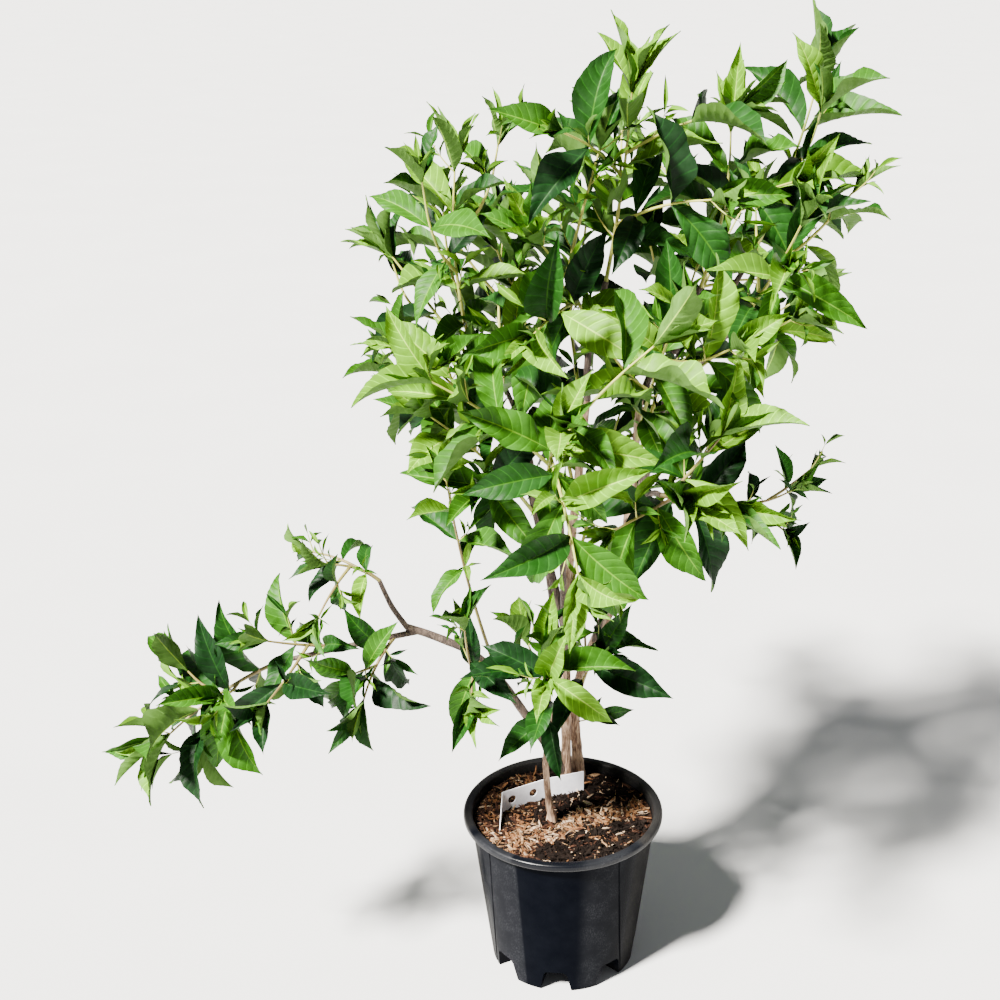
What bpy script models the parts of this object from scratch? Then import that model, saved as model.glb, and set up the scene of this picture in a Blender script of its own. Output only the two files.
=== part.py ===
"""A potted weigela: nursery pot, bark mulch, plant tag, stems, boughs and leafy shoots.

Metres, +Z up, +Y away from the viewer. The origin is the middle of the pot's flat underside.
"""

import math
import random
from typing import NamedTuple

import bmesh
import bpy
from mathutils import Matrix, Vector
from mathutils.bvhtree import BVHTree

GAP = 0.0003
UP = Vector((0, 0, 1))

# Pot
POT_HEIGHT = 0.210
RIM_RADIUS = 0.125
RIM_DEPTH = 0.010
RIM_WIDTH = 0.0100
WALL_TOP_RADIUS = 0.1155
WALL_FOOT_RADIUS = 0.0912
WALL = 0.0025
FLOOR = 0.003
FLOOR_RADIUS = 0.045
POT_STEPS = 36
NOTCHES = 8
NOTCH_TURN = math.radians(-96)
NOTCH_HEIGHT = 0.028
NOTCH_FOOT_WIDTH = 0.046
NOTCH_TOP_WIDTH = 0.029
NOTCH_ROUNDING = 0.004
PANEL_TURN = math.radians(-97.5)
PANEL_HALF_WIDTH = 0.079
GROOVE_RADIUS = 0.0016

# Mulch
MULCH_TOP = 0.196

# Plant tag
TAG_TIP = (-0.079, -0.034)
TAG_FOLD = (-0.077, 0.0105)
TAG_MIDDLE = (-0.022, 0.042)
TAG_END = (0.0265, 0.060)
TAG_WIDTH = 0.029
TAG_TIP_HEIGHT = 0.003
TAG_THICKNESS = 0.001
TAG_HOLE_RADIUS = 0.0056
TAG_HOLES_AT = (0.22, 0.70)

# Limbs
ROOT_FLARE = 0.32

# Leaves
LEAF_WIDTH = 0.45
LEAF_THICKNESS = 0.02
LEAF_FOLD = math.radians(17)
BEND_DOWN = 0.75
ROOT_OFF_AXIS = 0.0003
ROOT_SHARE = 0.14
INTERNODE = 0.044
OPENING_LOW = math.radians(72)
OPENING_HIGH = math.radians(24)
LEAF_SWING = math.radians(28)
LIGHT_FROM = Vector((-0.15, -0.65, 0.75))
LIGHT_PULL = 0.95
KEEP_OFF = 0.0006

# Shoots
LEADER_FOOT = 0.0028
TWIG_FOOT = 0.0024
TWIG_TIP = 0.0017
LEADER_STEPS = 5
SIDE_STEPS = 3
SIDE_BARE = 0.03
HOST_PULL = 0.35
HOST_PULL_AT_TIP = 0.9
GOLDEN_ANGLE = math.radians(137.5)


class Limb(NamedTuple):
    """A woody limb: what it springs from, its knees and tip, and its radius at each end."""

    name: str
    host: str
    at: float
    knees: tuple
    foot_radius: float
    tip_radius: float


class Mass(NamedTuple):
    """A leafy mass: a leader from its host limb to its tip, with side shoots round it."""

    name: str
    host: str
    at: float
    tip: tuple
    sides: int
    side_length: float
    leaf: float
    rise: float
    bare: float
    seed: int


STEMS = (
    Limb(
        "left_stem",
        "",
        0,
        ((0.004, 0.073, 0), (0.004, 0.070, 0.260), (0.005, 0.055, 0.485), (0.028, 0.030, 0.737)),
        0.0078,
        0.0045,
    ),
    Limb(
        "right_stem",
        "",
        0,
        ((0.020, 0.090, 0), (0.019, 0.084, 0.335), (0.069, 0.062, 0.499), (0.089, 0.040, 0.734)),
        0.0088,
        0.0048,
    ),
    Limb(
        "front_stem",
        "",
        0,
        ((-0.014, -0.013, 0), (-0.021, -0.020, 0.279), (-0.016, -0.042, 0.375)),
        0.0062,
        0.0038,
    ),
)

BOUGHS = (
    Limb(
        "low_bough",
        "left_stem",
        0.2,
        ((-0.085, 0.020, 0.391), (-0.137, -0.005, 0.445), (-0.184, -0.020, 0.472)),
        0.0062,
        0.0044,
    ),
    Limb(
        "low_bough_arch", "low_bough", 1.0,
        ((-0.200, -0.028, 0.503), (-0.212, -0.036, 0.540)), 0.0036, 0.0026,
    ),
    Limb(
        "low_bough_reach", "low_bough", 0.9,
        ((-0.240, -0.052, 0.466), (-0.329, -0.078, 0.456)), 0.0036, 0.0026,
    ),
    Limb(
        "crown_bough_left", "left_stem", 0.62,
        ((-0.054, 0.030, 0.684), (-0.097, 0.010, 0.784)), 0.0052, 0.0032,
    ),
    Limb(
        "crown_bough_middle", "left_stem", 1.0,
        ((0.029, 0.030, 0.794), (0.048, 0.035, 0.874)), 0.0042, 0.0032,
    ),
    Limb(
        "crown_bough_right", "right_stem", 0.80,
        ((0.137, 0.030, 0.754), (0.189, 0.000, 0.829)), 0.0052, 0.0032,
    ),
    Limb(
        "crown_bough_high", "right_stem", 1.0,
        ((0.116, 0.060, 0.794), (0.157, 0.070, 0.859)), 0.0044, 0.0032,
    ),
    Limb(
        "crown_bough_far", "crown_bough_high", 0.3,
        ((0.170, 0.090, 0.815), (0.220, 0.095, 0.895)), 0.0038, 0.003,
    ),
    Limb(
        "front_bough", "left_stem", 0.55, ((-0.003, -0.040, 0.624), (-0.015, -0.110, 0.694)), 0.0044, 0.0030
    ),
    Limb(
        "right_low_bough", "right_stem", 0.62,
        ((0.141, 0.100, 0.594), (0.206, 0.095, 0.584)), 0.0042, 0.0028,
    ),
    Limb(
        "right_front_bough", "right_stem", 0.50,
        ((0.088, 0.000, 0.614), (0.109, -0.070, 0.659)), 0.0042, 0.0030,
    ),
    Limb(
        "back_bough_left", "left_stem", 0.50,
        ((-0.038, 0.110, 0.624), (-0.070, 0.170, 0.704)), 0.0046, 0.0030,
    ),
    Limb(
        "back_bough_right", "right_stem", 0.66,
        ((0.122, 0.130, 0.694), (0.151, 0.190, 0.774)), 0.0046, 0.0030,
    ),
)

MASSES = (
    Mass(
        "top_centre_shoots", "crown_bough_middle", 1,
        (0.073, 0.021, 1.081), 4, 0.12, 0.104, -0.2, 0.05, 525,
    ),
    Mass(
        "top_middle_shoots", "crown_bough_high", 1,
        (0.182, 0.048, 1.036), 1, 0.14, 0.102, -0.1, 0.05, 202,
    ),
    Mass("top_right_shoots", "crown_bough_far", 1, (0.279, 0.092, 1.078), 1, 0.10, 0.114, 0.6, 0.05, 220),
    Mass(
        "upper_right_shoots", "crown_bough_right", 1,
        (0.244, -0.077, 0.959), 3, 0.1, 0.092, 0.2, 0.04, 400,
    ),
    Mass(
        "upper_left_shoots", "crown_bough_middle", 0.6,
        (-0.022, -0.037, 0.930), 2, 0.15, 0.102, -0.1, 0.05, 790,
    ),
    Mass("top_left_shoots", "crown_bough_left", 1, (-0.115, 0.000, 1.003), 3, 0.12, 0.090, 0.9, 0.05, 114),
    Mass(
        "far_left_shoots", "crown_bough_left", 0.86, (-0.189, 0.031, 0.903), 1, 0.09, 0.086, 1.1, 0.06, 88
    ),
    Mass("left_shoots", "crown_bough_left", 0.45, (-0.164, -0.035, 0.815), 2, 0.11, 0.088, 0.2, 0.06, 186),
    Mass(
        "left_middle_shoots", "crown_bough_left", 0.3,
        (-0.144, -0.065, 0.749), 2, 0.10, 0.094, 0.1, 0.05, 983,
    ),
    Mass("left_low_shoots", "low_bough", 0.3, (-0.126, -0.096, 0.687), 0, 0.08, 0.080, 0.5, 0.20, 721),
    Mass("front_shoots", "front_bough", 1, (-0.003, -0.207, 0.780), 3, 0.15, 0.106, -0.2, 0.04, 650),
    Mass("right_front_shoots", "right_front_bough", 1, (0.124, -0.138, 0.681), 2, 0.11, 0.118, 0, 0.04, 31),
    Mass(
        "right_under_shoots", "right_front_bough", 0.6,
        (0.170, -0.095, 0.654), 1, 0.07, 0.100, 0, 0.04, 381,
    ),
    Mass("centre_right_shoots", "right_stem", 0.93, (0.120, -0.112, 0.877), 2, 0.09, 0.098, 0.3, 0.05, 610),
    Mass("right_shoots", "crown_bough_right", 0.6, (0.258, 0.058, 0.842), 2, 0.09, 0.084, 0.1, 0.04, 191),
    Mass("right_low_shoots", "right_low_bough", 1, (0.272, 0.073, 0.607), 2, 0.07, 0.062, 0.1, 0.02, 289),
    Mass("inner_left_shoots", "left_stem", 0.85, (-0.078, 0.114, 0.895), 1, 0.13, 0.090, -0.1, 0.05, 529),
    Mass("inner_right_shoots", "right_stem", 0.86, (0.171, 0.144, 0.906), 2, 0.11, 0.090, 0.3, 0.05, 605),
    Mass("back_left_shoots", "back_bough_left", 1, (-0.075, 0.251, 0.878), 2, 0.16, 0.096, 0.2, 0.07, 294),
    Mass(
        "back_right_shoots", "back_bough_right", 1, (0.220, 0.238, 0.916), 2, 0.15, 0.084, -0.2, 0.07, 651
    ),
    Mass("back_low_shoots", "left_stem", 0.66, (0.091, 0.221, 0.715), 2, 0.17, 0.092, -0.1, 0.09, 604),
    Mass("back_top_shoots", "left_stem", 0.95, (-0.019, 0.170, 0.929), 1, 0.14, 0.084, 0.5, 0.05, 292),
    Mass("low_front_shoots", "front_stem", 1, (-0.019, -0.090, 0.478), 2, 0.06, 0.098, 0.2, 0.02, 218),
    Mass("low_right_shoots", "right_stem", 0.36, (0.043, 0.009, 0.421), 1, 0.08, 0.100, 0.5, 0.04, 870),
    Mass("low_left_shoots", "low_bough", 0.42, (-0.106, -0.073, 0.409), 1, 0.08, 0.090, 0.5, 0.03, 627),
    Mass(
        "bough_near_shoots", "low_bough_reach", 0.2, (-0.229, -0.095, 0.416), 1, 0.05, 0.084, 0, 0.02, 989
    ),
    Mass(
        "bough_high_shoots", "low_bough_arch", 1, (-0.266, -0.062, 0.572), 2, 0.07, 0.064, -0.2, 0.02, 107
    ),
    Mass(
        "bough_middle_shoots", "low_bough_reach", 0.55,
        (-0.331, -0.107, 0.498), 1, 0.10, 0.082, 0.1, 0.03, 419,
    ),
    Mass("bough_end_shoots", "low_bough_reach", 1, (-0.449, -0.121, 0.386), 3, 0.04, 0.104, 0.4, 0.02, 230),
)


class Shoot(NamedTuple):
    """A leafy twig: its points, from its foot to its tip, and its radius at each end."""

    points: list
    foot_radius: float
    tip_radius: float


class PairPlace(NamedTuple):
    """Where a pair of leaves stands: its root, way and turn, its leaves' size, its share of the shoot."""

    root: Vector
    way: Vector
    turn: float
    size: float
    share: float


class Leaf(NamedTuple):
    """A leaf: its root, the way it sets off, the way its upper face looks, and how it bends."""

    root: Vector
    along: Vector
    normal: Vector
    length: float
    bend: float


# Materials and objects


def material(name, colour, roughness, metallic=0.0):
    """A plain Principled material of one colour."""
    made = bpy.data.materials.new(name)
    made.use_nodes = True
    shader = made.node_tree.nodes["Principled BSDF"]
    shader.inputs["Base Color"].default_value = (*colour, 1)
    shader.inputs["Roughness"].default_value = roughness
    shader.inputs["Metallic"].default_value = metallic
    made.diffuse_color = (*colour, 1)
    return made


def link(name, mesh, collection, finish=None):
    """A new object that shows mesh in collection."""
    obj = bpy.data.objects.new(name, mesh)
    collection.objects.link(obj)
    if finish:
        mesh.materials.clear()
        mesh.materials.append(finish)
    return obj


def mesh_from(bm, name):
    """The mesh that bm holds, with its faces turned outwards."""
    bmesh.ops.recalc_face_normals(bm, faces=bm.faces)
    mesh = bpy.data.meshes.new(name)
    bm.to_mesh(mesh)
    bm.free()
    return mesh


def boolean(obj, operation, other):
    """A Boolean modifier on obj. other is one object or a collection of them."""
    modifier = obj.modifiers.new(operation.title(), "BOOLEAN")
    modifier.operation = operation
    if isinstance(other, bpy.types.Collection):
        modifier.operand_type = "COLLECTION"
        modifier.collection = other
    else:
        modifier.object = other
    modifier.solver = "EXACT"
    return modifier


def apply_modifiers(obj):
    """Replaces obj's mesh by what its modifiers make of it."""
    bpy.context.view_layer.update()
    graph = bpy.context.evaluated_depsgraph_get()
    made = bpy.data.meshes.new_from_object(obj.evaluated_get(graph))
    obj.modifiers.clear()
    obj.data = made


# Curves through space


def spline(knees, steps):
    """Points of a smooth line that passes through knees, with steps spans between each two."""
    ends = [knees[0] * 2 - knees[1], *knees, knees[-1] * 2 - knees[-2]]
    line = []
    for a, b, c, d in zip(ends, ends[1:], ends[2:], ends[3:]):
        slope, bow, twist = c - a, 2 * a - 5 * b + 4 * c - d, 3 * b - a - 3 * c + d
        for k in range(steps):
            t = k / steps
            line.append(b + 0.5 * (slope * t + bow * t**2 + twist * t**3))
    return [*line, knees[-1]]


def arc_through(start, middle, end, steps):
    """Points of a quadratic curve from start to end that middle pulls to itself."""
    shares = [k / steps for k in range(steps + 1)]
    return [start * (1 - t) ** 2 + middle * 2 * t * (1 - t) + end * t**2 for t in shares]


def place_on(line, share):
    """The point at that share of the line's spans, and the way the line runs there."""
    at = min(share, 0.9999) * (len(line) - 1)
    k = int(at)
    return line[k].lerp(line[k + 1], at - k), (line[k + 1] - line[k]).normalized()


def across(direction, turn):
    """The unit vector at right angles to direction that is turned that far round it."""
    side = direction.cross(Vector((0.31, -0.9, 0.21))).normalized()
    return Matrix.Rotation(turn, 3, direction) @ side


# Pot, mulch and tag


def wall_radius(z):
    """The outside of the pot's wall at a height."""
    return WALL_FOOT_RADIUS + (WALL_TOP_RADIUS - WALL_FOOT_RADIUS) * z / (POT_HEIGHT - RIM_DEPTH)


def turned(name, profile):
    """The mesh that a profile of (radius, height) points sweeps round Z."""
    bm = bmesh.new()
    verts = [bm.verts.new((r, 0, z)) for r, z in profile]
    edges = [bm.edges.new(pair) for pair in zip(verts, verts[1:])]
    bmesh.ops.spin(
        bm,
        geom=verts + edges,
        axis=UP,
        cent=(0, 0, 0),
        angle=math.tau,
        steps=POT_STEPS,
        use_merge=True,
        use_duplicate=False,
    )
    bmesh.ops.remove_doubles(bm, verts=bm.verts, dist=0.00001)
    return mesh_from(bm, name)


def cutter_from(bm, name, cutters):
    """A hidden object that a Boolean takes away."""
    cutter = link(name, mesh_from(bm, name), cutters)
    cutter.hide_render = True
    cutter.display_type = "WIRE"
    return cutter


def notch_shape(turn):
    """A channel that narrows and lowers from the pot's side to its flat middle."""
    bm = bmesh.new()
    bmesh.ops.create_cube(bm, size=2)
    outer, inner = WALL_FOOT_RADIUS * 1.2, FLOOR_RADIUS
    slope = NOTCH_HEIGHT / (WALL_FOOT_RADIUS - inner)
    for vertex in bm.verts:
        outside, above = vertex.co.x > 0, vertex.co.z > 0
        width = NOTCH_TOP_WIDTH if above else NOTCH_FOOT_WIDTH
        top = slope * (outer - inner) if outside else 0.0005
        vertex.co.x = outer if outside else inner
        vertex.co.y *= width / 2 * (1.0 if outside else 0.6)
        vertex.co.z = top if above else -0.002
    top_edges = [edge for edge in bm.edges if all(vertex.co.z > 0 for vertex in edge.verts)]
    ridges = [edge for edge in top_edges if edge.verts[0].co.y * edge.verts[1].co.y > 0]
    bmesh.ops.bevel(bm, geom=ridges, offset=NOTCH_ROUNDING, segments=2, profile=0.5, affect="EDGES")
    bmesh.ops.rotate(bm, verts=bm.verts, cent=(0, 0, 0), matrix=Matrix.Rotation(turn, 3, "Z"))
    return bm


def groove_line(side, facing):
    """The edge of a panel: a line up the wall at a fixed distance from the panel's middle plane."""
    outward = Vector((math.cos(PANEL_TURN), math.sin(PANEL_TURN), 0)) * facing
    sideways = Vector((-math.sin(PANEL_TURN), math.cos(PANEL_TURN), 0)) * side
    line = []
    for share in (-0.02, 0.35, 0.7, 1.02):
        z = share * (POT_HEIGHT - RIM_DEPTH)
        depth = math.sqrt(wall_radius(z) ** 2 - PANEL_HALF_WIDTH**2)
        line.append(outward * depth + sideways * PANEL_HALF_WIDTH + UP * z)
    return line


def build_pot(parts, cutters):
    """A tapered pot with a turned-over rim, notches between its feet and grooved panels."""
    under_rim = POT_HEIGHT - RIM_DEPTH
    channel_top = NOTCH_HEIGHT + WALL
    profile = [
        (0, 0),
        (WALL_FOOT_RADIUS, 0),
        (WALL_TOP_RADIUS, under_rim),
        (RIM_RADIUS - 0.0015, under_rim),
        (RIM_RADIUS, under_rim + 0.0025),
        (RIM_RADIUS, POT_HEIGHT - 0.0035),
        (RIM_RADIUS - 0.003, POT_HEIGHT),
        (RIM_RADIUS - RIM_WIDTH + 0.002, POT_HEIGHT),
        (RIM_RADIUS - RIM_WIDTH, POT_HEIGHT - 0.003),
        (WALL_TOP_RADIUS - WALL, under_rim - WALL),
        (wall_radius(channel_top) - WALL, channel_top),
        (FLOOR_RADIUS, FLOOR),
        (0, FLOOR),
    ]
    pot = link("pot", turned("pot", profile), parts, material("pot_plastic", (0.012, 0.014, 0.018), 0.38))
    for k in range(NOTCHES):
        shape = notch_shape(NOTCH_TURN + k * math.tau / NOTCHES)
        boolean(pot, "DIFFERENCE", cutter_from(shape, f"notch_cutter_{k}", cutters))
    for side in (-1, 1):
        for facing in (-1, 1):
            groove = Shoot(groove_line(side, facing), GROOVE_RADIUS, GROOVE_RADIUS)
            name = f"groove_cutter_{side}_{facing}"
            boolean(pot, "DIFFERENCE", cutter_from(twig_shape(groove), name, cutters))
    return pot


def build_mulch(parts):
    """The potting mix and bark that fill the pot, level on top."""
    clear = WALL + GAP
    channel_top = NOTCH_HEIGHT + WALL + GAP
    profile = [
        (0, FLOOR + GAP),
        (FLOOR_RADIUS, FLOOR + GAP),
        (wall_radius(channel_top) - clear, channel_top),
        (wall_radius(MULCH_TOP) - clear, MULCH_TOP),
        (0, MULCH_TOP),
    ]
    mulch = turned("mulch", profile)
    return link("mulch", mulch, parts, material("bark_mulch", (0.16, 0.085, 0.045), 0.95))


def flap_cutter(fold, tip):
    """A block above the sloping edge of the tag's folded end."""
    slope = (tip - fold).normalized()
    sideways = slope.cross(UP).normalized()
    above = sideways.cross(slope)
    size = TAG_WIDTH * 2
    bm = bmesh.new()
    bmesh.ops.create_cube(bm, size=size)
    frame = Matrix((slope, sideways, above)).transposed().to_4x4()
    place = Matrix.Translation(fold.lerp(tip, 0.5) + above * size / 2) @ frame
    bmesh.ops.transform(bm, matrix=place, verts=bm.verts)
    return bm


def build_tag(parts, cutters):
    """A blank white strap tag that stands on its edge, with two round holes and a folded tip."""
    foot = MULCH_TOP + GAP
    middle = foot + TAG_WIDTH / 2
    curve = bpy.data.curves.new("plant_tag", "CURVE")
    curve.dimensions = "3D"
    curve.twist_mode = "Z_UP"
    curve.extrude = TAG_WIDTH / 2
    path = curve.splines.new("POLY")
    path.points.add(3)
    for point, (x, y) in zip(path.points, (TAG_TIP, TAG_FOLD, TAG_MIDDLE, TAG_END)):
        point.co = (x, y, middle, 1)
    holder = bpy.data.objects.new("plant_tag", curve)
    mesh = bpy.data.meshes.new_from_object(holder)
    bpy.data.objects.remove(holder)
    tag = link("plant_tag", mesh, parts, material("tag_plastic", (0.85, 0.84, 0.86), 0.45))
    thicken = tag.modifiers.new("Thickness", "SOLIDIFY")
    thicken.thickness = TAG_THICKNESS
    fold_top = Vector((*TAG_FOLD, foot + TAG_WIDTH))
    tip_top = Vector((*TAG_TIP, foot + TAG_TIP_HEIGHT))
    boolean(tag, "DIFFERENCE", cutter_from(flap_cutter(fold_top, tip_top), "flap_cutter", cutters))
    fold, bend = Vector((*TAG_FOLD, middle)), Vector((*TAG_MIDDLE, middle))
    facing = (bend - fold).cross(UP).to_track_quat("Z", "Y").to_matrix().to_4x4()
    for k, share in enumerate(TAG_HOLES_AT):
        bm = bmesh.new()
        bmesh.ops.create_cone(
            bm,
            cap_ends=True,
            segments=12,
            radius1=TAG_HOLE_RADIUS,
            radius2=TAG_HOLE_RADIUS,
            depth=TAG_THICKNESS * 8,
        )
        bmesh.ops.transform(bm, matrix=Matrix.Translation(fold.lerp(bend, share)) @ facing, verts=bm.verts)
        boolean(tag, "DIFFERENCE", cutter_from(bm, f"tag_cutter_{k}", cutters))
    return tag


# Limbs


def tube(name, line, radii, resolution):
    """A mesh tube along line, made as a bevelled curve with filled caps."""
    curve = bpy.data.curves.new(name, "CURVE")
    curve.dimensions = "3D"
    curve.bevel_depth = 1.0
    curve.bevel_resolution = resolution
    curve.use_fill_caps = True
    path = curve.splines.new("POLY")
    path.points.add(len(line) - 1)
    for point, place, radius in zip(path.points, line, radii):
        point.co = (*place, 1)
        point.radius = radius
    holder = bpy.data.objects.new(name, curve)
    mesh = bpy.data.meshes.new_from_object(holder)
    bpy.data.objects.remove(holder)
    bpy.data.curves.remove(curve)
    bm = bmesh.new()
    bm.from_mesh(mesh)
    bmesh.ops.remove_doubles(bm, verts=bm.verts, dist=0.00002)
    bpy.data.meshes.remove(mesh)
    return mesh_from(bm, name)


def limb_radii(limb, count):
    """The radius at each of a limb's points. A stem flares where it enters the mulch."""
    radii = []
    for k in range(count):
        share = k / (count - 1)
        radius = limb.foot_radius + (limb.tip_radius - limb.foot_radius) * share
        if not limb.host:
            radius += limb.foot_radius * ROOT_FLARE * max(0.0, 1 - share / 0.07) ** 2
        radii.append(radius)
    return radii


def limb_line(limb, lines):
    """The points of a limb, from the middle of its host or from the mulch, to its tip."""
    knees = [Vector(knee) for knee in limb.knees]
    if limb.host:
        knees.insert(0, place_on(lines[limb.host], limb.at)[0])
        return spline(knees, 2)
    foot = knees[0]
    foot.z = MULCH_TOP + GAP
    line = spline(knees, 4)
    flare = foot + UP * 0.012
    return [foot, flare, *line[1:]]


def build_limbs(parts, cutters, bark):
    """Each stem and bough, its foot cut 0.3 mm clear of the limb that it springs from."""
    lines, shells = {}, {}
    for limb in (*STEMS, *BOUGHS):
        line = limb_line(limb, lines)
        radii = limb_radii(limb, len(line))
        obj = link(limb.name, tube(limb.name, line, radii, 1), parts, bark)
        lines[limb.name] = line
        shells[limb.name] = limb_shell(limb, line, radii, cutters)
        if limb.host:
            boolean(obj, "DIFFERENCE", shells[limb.host])
            apply_modifiers(obj)
    return lines, shells


def limb_shell(limb, line, radii, cutters):
    """A limb grown by the gap: what springs from the limb is cut by it."""
    grow = GAP * 1.25
    last = (line[-1] - line[-2]).normalized()
    longer = [*line[:-1], line[-1] + last * grow]
    mesh = tube(limb.name + "_shell", longer, [r + grow for r in radii], 1)
    shell = link(limb.name + "_shell", mesh, cutters)
    shell.hide_render = True
    shell.display_type = "WIRE"
    return shell


# How shoots and leaves grow


def grow_shoots(mass, lines, chance):
    """The leader of a mass, from its host to the mass's tip, and the side shoots that it bears."""
    start, host_way = place_on(lines[mass.host], mass.at)
    tip = Vector(mass.tip)
    reach = tip - start
    follow = HOST_PULL_AT_TIP if mass.at == 1 else HOST_PULL
    set_off = (host_way * follow + reach.normalized()).normalized()
    leader = arc_through(start, start + set_off * reach.length * 0.5, tip, LEADER_STEPS)
    shoots = [Shoot(leader, LEADER_FOOT, TWIG_TIP)]
    first_turn = chance.uniform(0, math.tau)
    for k in range(mass.sides):
        foot, way = place_on(leader, 0.25 + 0.5 * (k + 0.5) / mass.sides)
        turn = first_turn + k * GOLDEN_ANGLE
        length = mass.side_length * chance.uniform(0.85, 1.15)
        out = (way * 0.75 + across(way, turn)).normalized()
        end = foot + (out + UP * mass.rise).normalized() * length
        side = arc_through(foot, foot + out * length * 0.5, end, SIDE_STEPS)
        shoots.append(Shoot(side, TWIG_FOOT, TWIG_TIP))
    return shoots


def pair_places(shoot, mass, bare, chance):
    """Where the opposite pairs of leaves stand up a shoot, each a quarter turn on from the last."""
    line = shoot.points
    length = sum((b - a).length for a, b in zip(line, line[1:]))
    first = min(0.6, bare / length)
    pairs = max(2, round(length * (1 - first) / INTERNODE) + 1)
    turn = chance.uniform(0, math.pi)
    places = []
    for k in range(pairs):
        share = k / (pairs - 1)
        root, way = place_on(line, first + (1 - first) * share * 0.985)
        size = mass.leaf * (0.78 + 0.32 * math.sin(math.pi * (0.15 + 0.7 * share)) - 0.12 * share**3)
        places.append(PairPlace(root, way, turn + k * math.pi / 2, size, share))
    return places


def leaf_at(place, swing, length, bend):
    """One leaf of a pair, swung round its shoot. Its face looks up the shoot and to the light."""
    out = across(place.way, place.turn + swing)
    opening = OPENING_LOW + (OPENING_HIGH - OPENING_LOW) * place.share**1.5
    along = (place.way * math.cos(opening) + out * math.sin(opening)).normalized()
    face = place.way * math.sin(opening) - out * math.cos(opening)
    normal = face * (0.45 + 0.5 * place.share) + LIGHT_FROM * LIGHT_PULL
    normal = (normal - along * normal.dot(along)).normalized()
    return Leaf(place.root + out * ROOT_OFF_AXIS, along, normal, length, bend * (1.15 - 0.5 * place.share))


def leaf_outline(share):
    """A leaf's half width at a share of its length, as a part of its greatest half width."""
    return math.sin(math.pi * share**0.86) ** 0.8 if 0 < share < 1 else 0.0


def leaf_place(leaf, share, side, lift):
    """The point of a leaf at a share of its length, side metres off its rib and lift above it."""
    angle = leaf.bend * share
    run = leaf.length * math.sin(angle) / leaf.bend
    drop = leaf.length * (1 - math.cos(angle)) / leaf.bend
    normal = leaf.normal * math.cos(angle) + leaf.along * math.sin(angle)
    sideways = leaf.normal.cross(leaf.along)
    rib = leaf.root + leaf.along * run - leaf.normal * drop
    return rib + sideways * side * math.cos(LEAF_FOLD) + normal * (lift + abs(side) * math.sin(LEAF_FOLD))


def leaf_shape(leaf, grow=0.0, trim=0.0):
    """A folded, drooping blade of twelve faces, made from a six-sided double cone."""
    bm = bmesh.new()
    bmesh.ops.create_uvsphere(bm, u_segments=6, v_segments=2, radius=1)
    half_width = leaf.length * LEAF_WIDTH / 2
    for vertex in bm.verts:
        x, y, z = vertex.co
        share = trim + (1 - trim) * (0.5 + 0.5 * y)
        side = 0.0
        if abs(x) > 0.1:
            side = math.copysign(half_width * leaf_outline(share) + grow, x)
        lift = z * (leaf.length * LEAF_THICKNESS / 2 + grow)
        vertex.co = leaf_place(leaf, share, side, lift)
    return bm


def twig_shape(shoot, grow=0.0, trim=0):
    """A three-sided twig along a shoot, made from a cone that is cut into rings and bent."""
    line = shoot.points[trim:]
    steps = len(line) - 1
    bm = bmesh.new()
    bmesh.ops.create_cone(bm, cap_ends=True, segments=3, radius1=1, radius2=1, depth=1)
    long_edges = [e for e in bm.edges if abs(e.verts[0].co.z - e.verts[1].co.z) > 0.5]
    bmesh.ops.subdivide_edges(bm, edges=long_edges, cuts=steps - 1, use_grid_fill=True)
    side = across((line[-1] - line[0]).normalized(), 0)
    for vertex in bm.verts:
        share = vertex.co.z + 0.5
        k = min(round(share * steps), steps)
        way = (line[min(k + 1, steps)] - line[max(k - 1, 0)]).normalized()
        x_axis = (side - way * side.dot(way)).normalized()
        radius = shoot.foot_radius + (shoot.tip_radius - shoot.foot_radius) * share + grow
        vertex.co = line[k] + (x_axis * vertex.co.x + way.cross(x_axis) * vertex.co.y) * radius
    return bm


# How they keep off each other


class Solid(NamedTuple):
    """A shape that others keep off: its middle, its reach and its faces."""

    middle: Vector
    reach: float
    tree: BVHTree


class Grown(NamedTuple):
    """A shoot or leaf: its mass, its shoot, and its solid whole and without its root."""

    mass: str
    shoot: int
    is_leaf: bool
    whole: Solid
    outer: Solid


def solid_of(bm):
    """What others keep off, from a mesh that is then freed."""
    places = [vertex.co.copy() for vertex in bm.verts]
    middle = sum(places, Vector()) / len(places)
    reach = max((place - middle).length for place in places)
    tree = BVHTree.FromBMesh(bm)
    bm.free()
    return Solid(middle, reach, tree)


def touch(one, other):
    """Whether two solids meet."""
    near = (one.middle - other.middle).length < one.reach + other.reach
    return near and bool(one.tree.overlap(other.tree))


def limb_solids(lines, shells):
    """Each limb's shell as a solid to keep off."""
    solids = {}
    for name in lines:
        bm = bmesh.new()
        bm.from_mesh(shells[name].data)
        solids[name] = solid_of(bm)
    return solids


def has_room(new, placed, limbs, host):
    """Whether a shoot or leaf keeps off the rest. Its root may meet what it springs from."""
    for name, limb in limbs.items():
        if touch(new.outer if name == host else new.whole, limb):
            return False
    for old in placed:
        kin = old.mass == new.mass and (old.shoot == new.shoot or not new.is_leaf)
        if touch(new.outer if kin else new.whole, old.whole):
            return False
    return True


def in_space(mass, leader, place):
    """Whether a place is in a mass's own space, which reaches a fixed way from its leader."""
    reach = mass.side_length + mass.leaf
    return min((place - point).length for point in leader.points) < reach


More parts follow.
